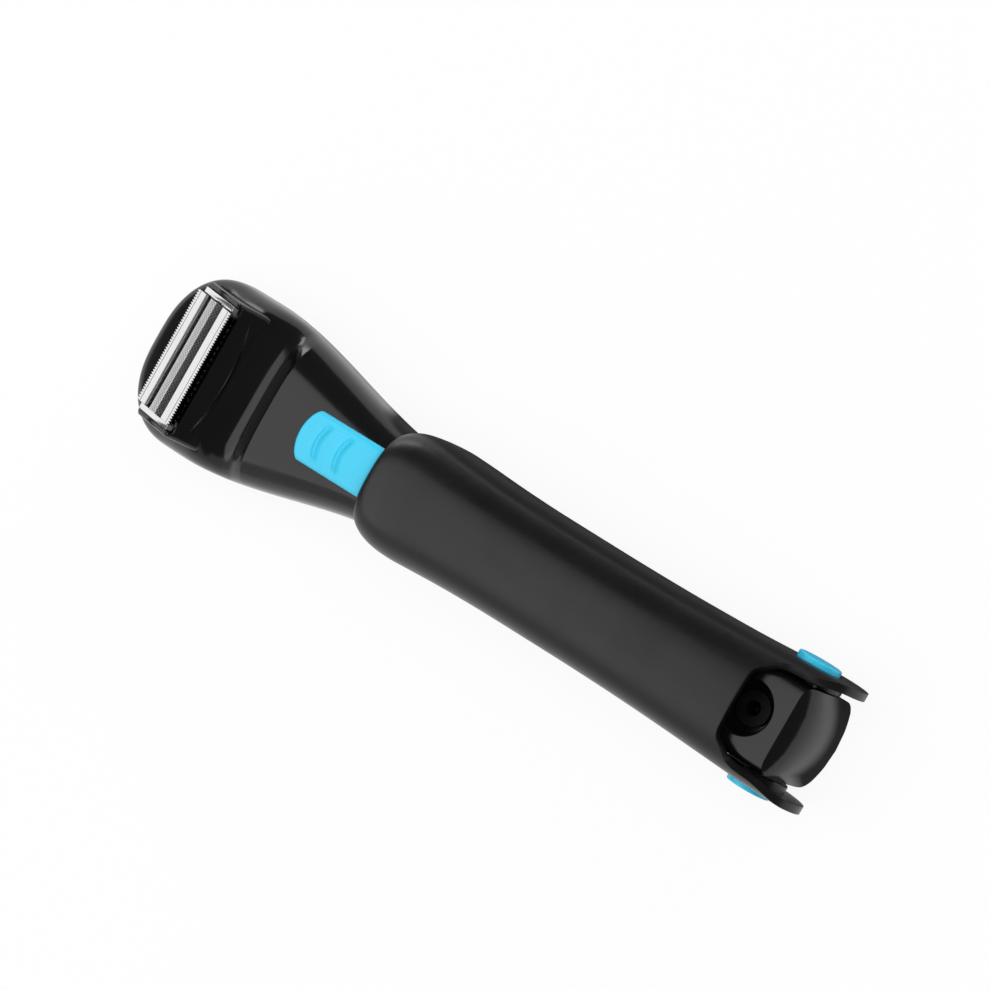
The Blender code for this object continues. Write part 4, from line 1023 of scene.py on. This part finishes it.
class GROOMER_OT_buttons(bpy.types.Operator):
    """Round blue release buttons on the ears, each on a coil spring"""
    bl_idname = "groomer.buttons"
    bl_label = "Release buttons"

    def execute(self, context):
        r = context.scene.groomer_sizes.button_radius / MM
        outline = [(0.0, 18.5), (0.8 * r, 18.48), (r, 18.38), (r, 15.9),
                   (4.6, 15.9), (4.6, 17.65), (0.0, 17.65)]
        profile = rounded(np.asarray(outline) * MM, 0.35 * MM, 7)
        for hand, name in ((1, "left"), (-1, "right")):
            made = ring_solid("button_cap_" + name, along_y(turned(profile, 72), hand))
            put(made, accent_blue(), "button_" + name, "release_button_" + name)
            coil = ring_solid("spring_coil_" + name, along_y(self.coil(), hand))
            put(coil, dull_steel(), "handle", "button_spring_" + name)
            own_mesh(coil)
        return {"FINISHED"}

    def coil(self):
        """Round wire on a helix of three turns: r = R + w cos f, h = h0 + rise t + w sin f."""
        t = np.linspace(0.0, 1.0, 109)[:, None]
        f = np.linspace(0.0, 2.0 * np.pi, 12, endpoint=False)[None, :]
        turn = 6.0 * np.pi * t
        r = (3.5 + 0.3 * np.cos(f)) * MM
        h = (14.55 + 2.75 * t + 0.3 * np.sin(f)) * MM
        return np.stack([r * np.cos(turn), r * np.sin(turn), h], -1)


class GROOMER_OT_works(bpy.types.Operator):
    """Finishes of the drive, the power parts, the trimmer blades, the axle and the screws"""
    bl_idname = "groomer.works"
    bl_label = "Inner works"

    def execute(self, context):
        looks = {
            nylon: ["motor_bell", "drive_chassis", "drive_bridge", "drive_eccentric", "switch_lever"],
            dull_steel: ["motor_can", "motor_shaft", "hinge_axle", "guide_rod_front", "guide_rod_rear",
                         "switch_can", "casing_screw_1", "casing_screw_2", "casing_screw_3",
                         "casing_screw_4", "cutter_block"],
            black_steel: ["trimmer_blade_front", "trimmer_blade_rear"],
            well_black: ["charge_jack"],
            brass: ["cell_contact_front", "cell_contact_rear"],
            board_green: ["circuit_board"],
            cell_wrap: ["cell_front", "cell_rear"],
        }
        for look, names in looks.items():
            for name in names:
                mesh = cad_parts[name].data
                mesh.materials.clear()
                mesh.materials.append(look())
        return {"FINISHED"}


class GROOMER_OT_stage(bpy.types.Operator):
    """Pale floor, soft lamps, white background and the camera"""
    bl_idname = "groomer.stage"
    bl_label = "Stage"

    def execute(self, context):
        scene = context.scene
        scene.view_settings.view_transform = "Standard"
        self.floor(scene)
        self.world(scene)
        for row in LAMPS:
            self.lamp(scene, *row)
        self.camera(scene)
        return {"FINISHED"}

    def floor(self, scene):
        """A flat disc just under the resting height."""
        r = np.linspace(0.0, FLOOR_RADIUS, 9)[:, None]
        a = np.linspace(0.0, 2.0 * np.pi, 65)[None, :]
        disc = np.stack(np.broadcast_arrays(r * np.cos(a), r * np.sin(a), FLOOR_Z), -1)
        floor = bpy.data.objects.new("pale_floor", bpy.data.meshes.new("pale_floor"))
        floor.data.from_pydata(disc.reshape(-1, 3).tolist(), [], quads(9, 65).tolist())
        scene.collection.objects.link(floor)
        floor.data.materials.append(self.floor_finish())

    def floor_finish(self):
        """White floor that keeps the object's shadow.

        Camera and mirror rays meet an even white over a tenth of the lit floor, which is pale to the camera
        and dark grey to mirror rays. Two boxes are left out of the white: one under the tail, where the
        camera sees the plain shadow, and one beside the handle, where mirror rays meet the dark grey floor as
        a painted dark reflection on the handle and the tail's end. In a box, |position - middle| - half is
        under nought on both axes.
        """
        made = bpy.data.materials.new("pale_floor")
        made.use_nodes = True
        tree = made.node_tree
        shader = tree.nodes["Principled BSDF"]
        shader.inputs["Roughness"].default_value = 0.9
        shader.inputs["Specular IOR Level"].default_value = 0.0
        out = tree.nodes["Material Output"]
        ray = node(tree, "ShaderNodeLightPath")
        spot = node(tree, "ShaderNodeNewGeometry")
        axes = node(tree, "ShaderNodeSeparateXYZ")
        # Painted dark reflection: the floor is dark grey to mirror rays, and pale to the camera and to
        # diffuse light
        painted_reflection_tone = node(tree, "ShaderNodeMix", {"A": (0.93, 0.93, 0.93, 1.0), "B": (0.16, 0.16, 0.16, 1.0)},
                    data_type="RGBA")
        glow = node(tree, "ShaderNodeEmission", {"Color": (1.0, 1.0, 1.0, 1.0)})
        # Mirror rays take the box of the painted dark reflection, all other rays the box of the plain shadow
        middle = node(tree, "ShaderNodeMix", {"A": SHADOW_BOX[0], "B": PAINTED_REFLECTION_BOX[0]}, data_type="VECTOR")
        half = node(tree, "ShaderNodeMix", {"A": SHADOW_BOX[1], "B": PAINTED_REFLECTION_BOX[1]}, data_type="VECTOR")
        apart = node(tree, "ShaderNodeVectorMath", operation="SUBTRACT")
        reach = node(tree, "ShaderNodeVectorMath", operation="ABSOLUTE")
        over = node(tree, "ShaderNodeVectorMath", operation="SUBTRACT")
        outside = node(tree, "ShaderNodeMath", operation="MAXIMUM")
        edge = node(tree, "ShaderNodeMapRange", {"From Min": -2.0 * MM, "From Max": 2.0 * MM})
        seen = node(tree, "ShaderNodeMath", operation="MAXIMUM")
        even = node(tree, "ShaderNodeMath", operation="MULTIPLY")
        share = node(tree, "ShaderNodeMath", {1: 0.9}, operation="MULTIPLY")
        mix = node(tree, "ShaderNodeMixShader")
        wire(tree,
             (ray, "Is Glossy Ray", painted_reflection_tone, "Factor"), (painted_reflection_tone, "Result", shader, "Base Color"),
             (ray, "Is Glossy Ray", middle, "Factor"), (ray, "Is Glossy Ray", half, "Factor"),
             (spot, "Position", apart, 0), (middle, "Result", apart, 1), (apart, "Vector", reach, 0),
             (reach, "Vector", over, 0), (half, "Result", over, 1), (over, "Vector", axes, "Vector"),
             (axes, "X", outside, 0), (axes, "Y", outside, 1), (outside, "Value", edge, "Value"),
             (ray, "Is Camera Ray", seen, 0), (ray, "Is Glossy Ray", seen, 1),
             (edge, "Result", even, 0), (seen, "Value", even, 1), (even, "Value", share, 0),
             (share, "Value", mix, "Fac"), (shader, "BSDF", mix, 1), (glow, "Emission", mix, 2),
             (mix, "Shader", out, "Surface"))
        return made

    def world(self, scene):
        """White to the camera and dim to every other ray."""
        made = bpy.data.worlds.new("studio")
        scene.world = made
        made.use_nodes = True
        tree = made.node_tree
        ray = node(tree, "ShaderNodeLightPath")
        mix = node(tree, "ShaderNodeMix", {"A": (0.1, 0.1, 0.103, 1.0), "B": (1.0, 1.0, 1.0, 1.0)},
                   data_type="RGBA")
        wire(tree, (ray, "Is Camera Ray", mix, "Factor"), (mix, "Result", tree.nodes["Background"], "Color"))

    def lamp(self, scene, name, toward, distance, size, power, gloss):
        """A soft rectangular lamp aimed at the object."""
        data = bpy.data.lights.new(name, "AREA")
        data.shape = "RECTANGLE"
        data.size, data.size_y = size
        data.energy = power
        made = bpy.data.objects.new(name, data)
        scene.collection.objects.link(made)
        toward = Vector(toward).normalized()
        made.location = toward * distance
        made.rotation_mode = "QUATERNION"
        made.rotation_quaternion = toward.to_track_quat("Z", "Y")
        made.visible_glossy = gloss
        made.visible_camera = False

    def camera(self, scene):
        """Camera over the groomer, turned so that the groomer runs down the picture to the right."""
        toward = Vector(VIEW_TOWARD).normalized()
        run = (Vector((1.0, 0.0, 0.0)) - toward * toward.x).normalized()
        rise = toward.cross(run)
        c, s = float(np.cos(VIEW_TURN)), float(np.sin(VIEW_TURN))
        right = run * c + rise * s
        up = rise * c - run * s
        aim = Vector(VIEW_AIM) + right * VIEW_RIGHT * MM + up * VIEW_UP * MM
        made = bpy.data.objects.new("camera", bpy.data.cameras.new("camera"))
        scene.collection.objects.link(made)
        turn = Matrix((right, up, toward)).transposed().to_4x4()
        made.matrix_world = Matrix.Translation(aim + toward * VIEW_DISTANCE) @ turn
        made.data.sensor_width = SENSOR
        made.data.lens = SENSOR * VIEW_DISTANCE / VIEW_WIDTH
        made.data.clip_start = 0.05
        made.data.clip_end = 20.0
        scene.camera = made


class GROOMER_PT_panel(bpy.types.Panel):
    """Lists the pieces, the sizes and the colours"""
    bl_idname = "GROOMER_PT_panel"
    bl_label = "Folding body groomer"
    bl_space_type = "VIEW_3D"
    bl_region_type = "UI"
    bl_category = "Groomer"

    def draw(self, context):
        column = self.layout.column()
        for operator in PIECES:
            column.operator(operator.bl_idname)
        for holder in (context.scene.groomer_sizes, context.scene.groomer_colours):
            for name in holder.bl_rna.properties.keys():
                if name not in {"rna_type", "name"}:
                    column.prop(holder, name)


PIECES = (GROOMER_OT_casing, GROOMER_OT_hinge_block, GROOMER_OT_head_cap, GROOMER_OT_cassette,
          GROOMER_OT_switch, GROOMER_OT_handle, GROOMER_OT_buttons, GROOMER_OT_works, GROOMER_OT_stage)
CLASSES = (GroomerSizes, GroomerColours) + PIECES + (GROOMER_PT_panel,)


def register():
    for item in CLASSES:
        bpy.utils.register_class(item)
    bpy.types.Scene.groomer_sizes = PointerProperty(type=GroomerSizes)
    bpy.types.Scene.groomer_colours = PointerProperty(type=GroomerColours)


def unregister():
    del bpy.types.Scene.groomer_colours
    del bpy.types.Scene.groomer_sizes
    for item in reversed(CLASSES):
        bpy.utils.unregister_class(item)


def main():
    register()
    bpy.ops.groomer.casing()
    bpy.ops.groomer.hinge_block()
    bpy.ops.groomer.head_cap()
    bpy.ops.groomer.cassette()
    bpy.ops.groomer.switch()
    bpy.ops.groomer.handle()
    bpy.ops.groomer.buttons()
    bpy.ops.groomer.works()
    bpy.ops.groomer.stage()


if __name__ == "__main__":
    main()
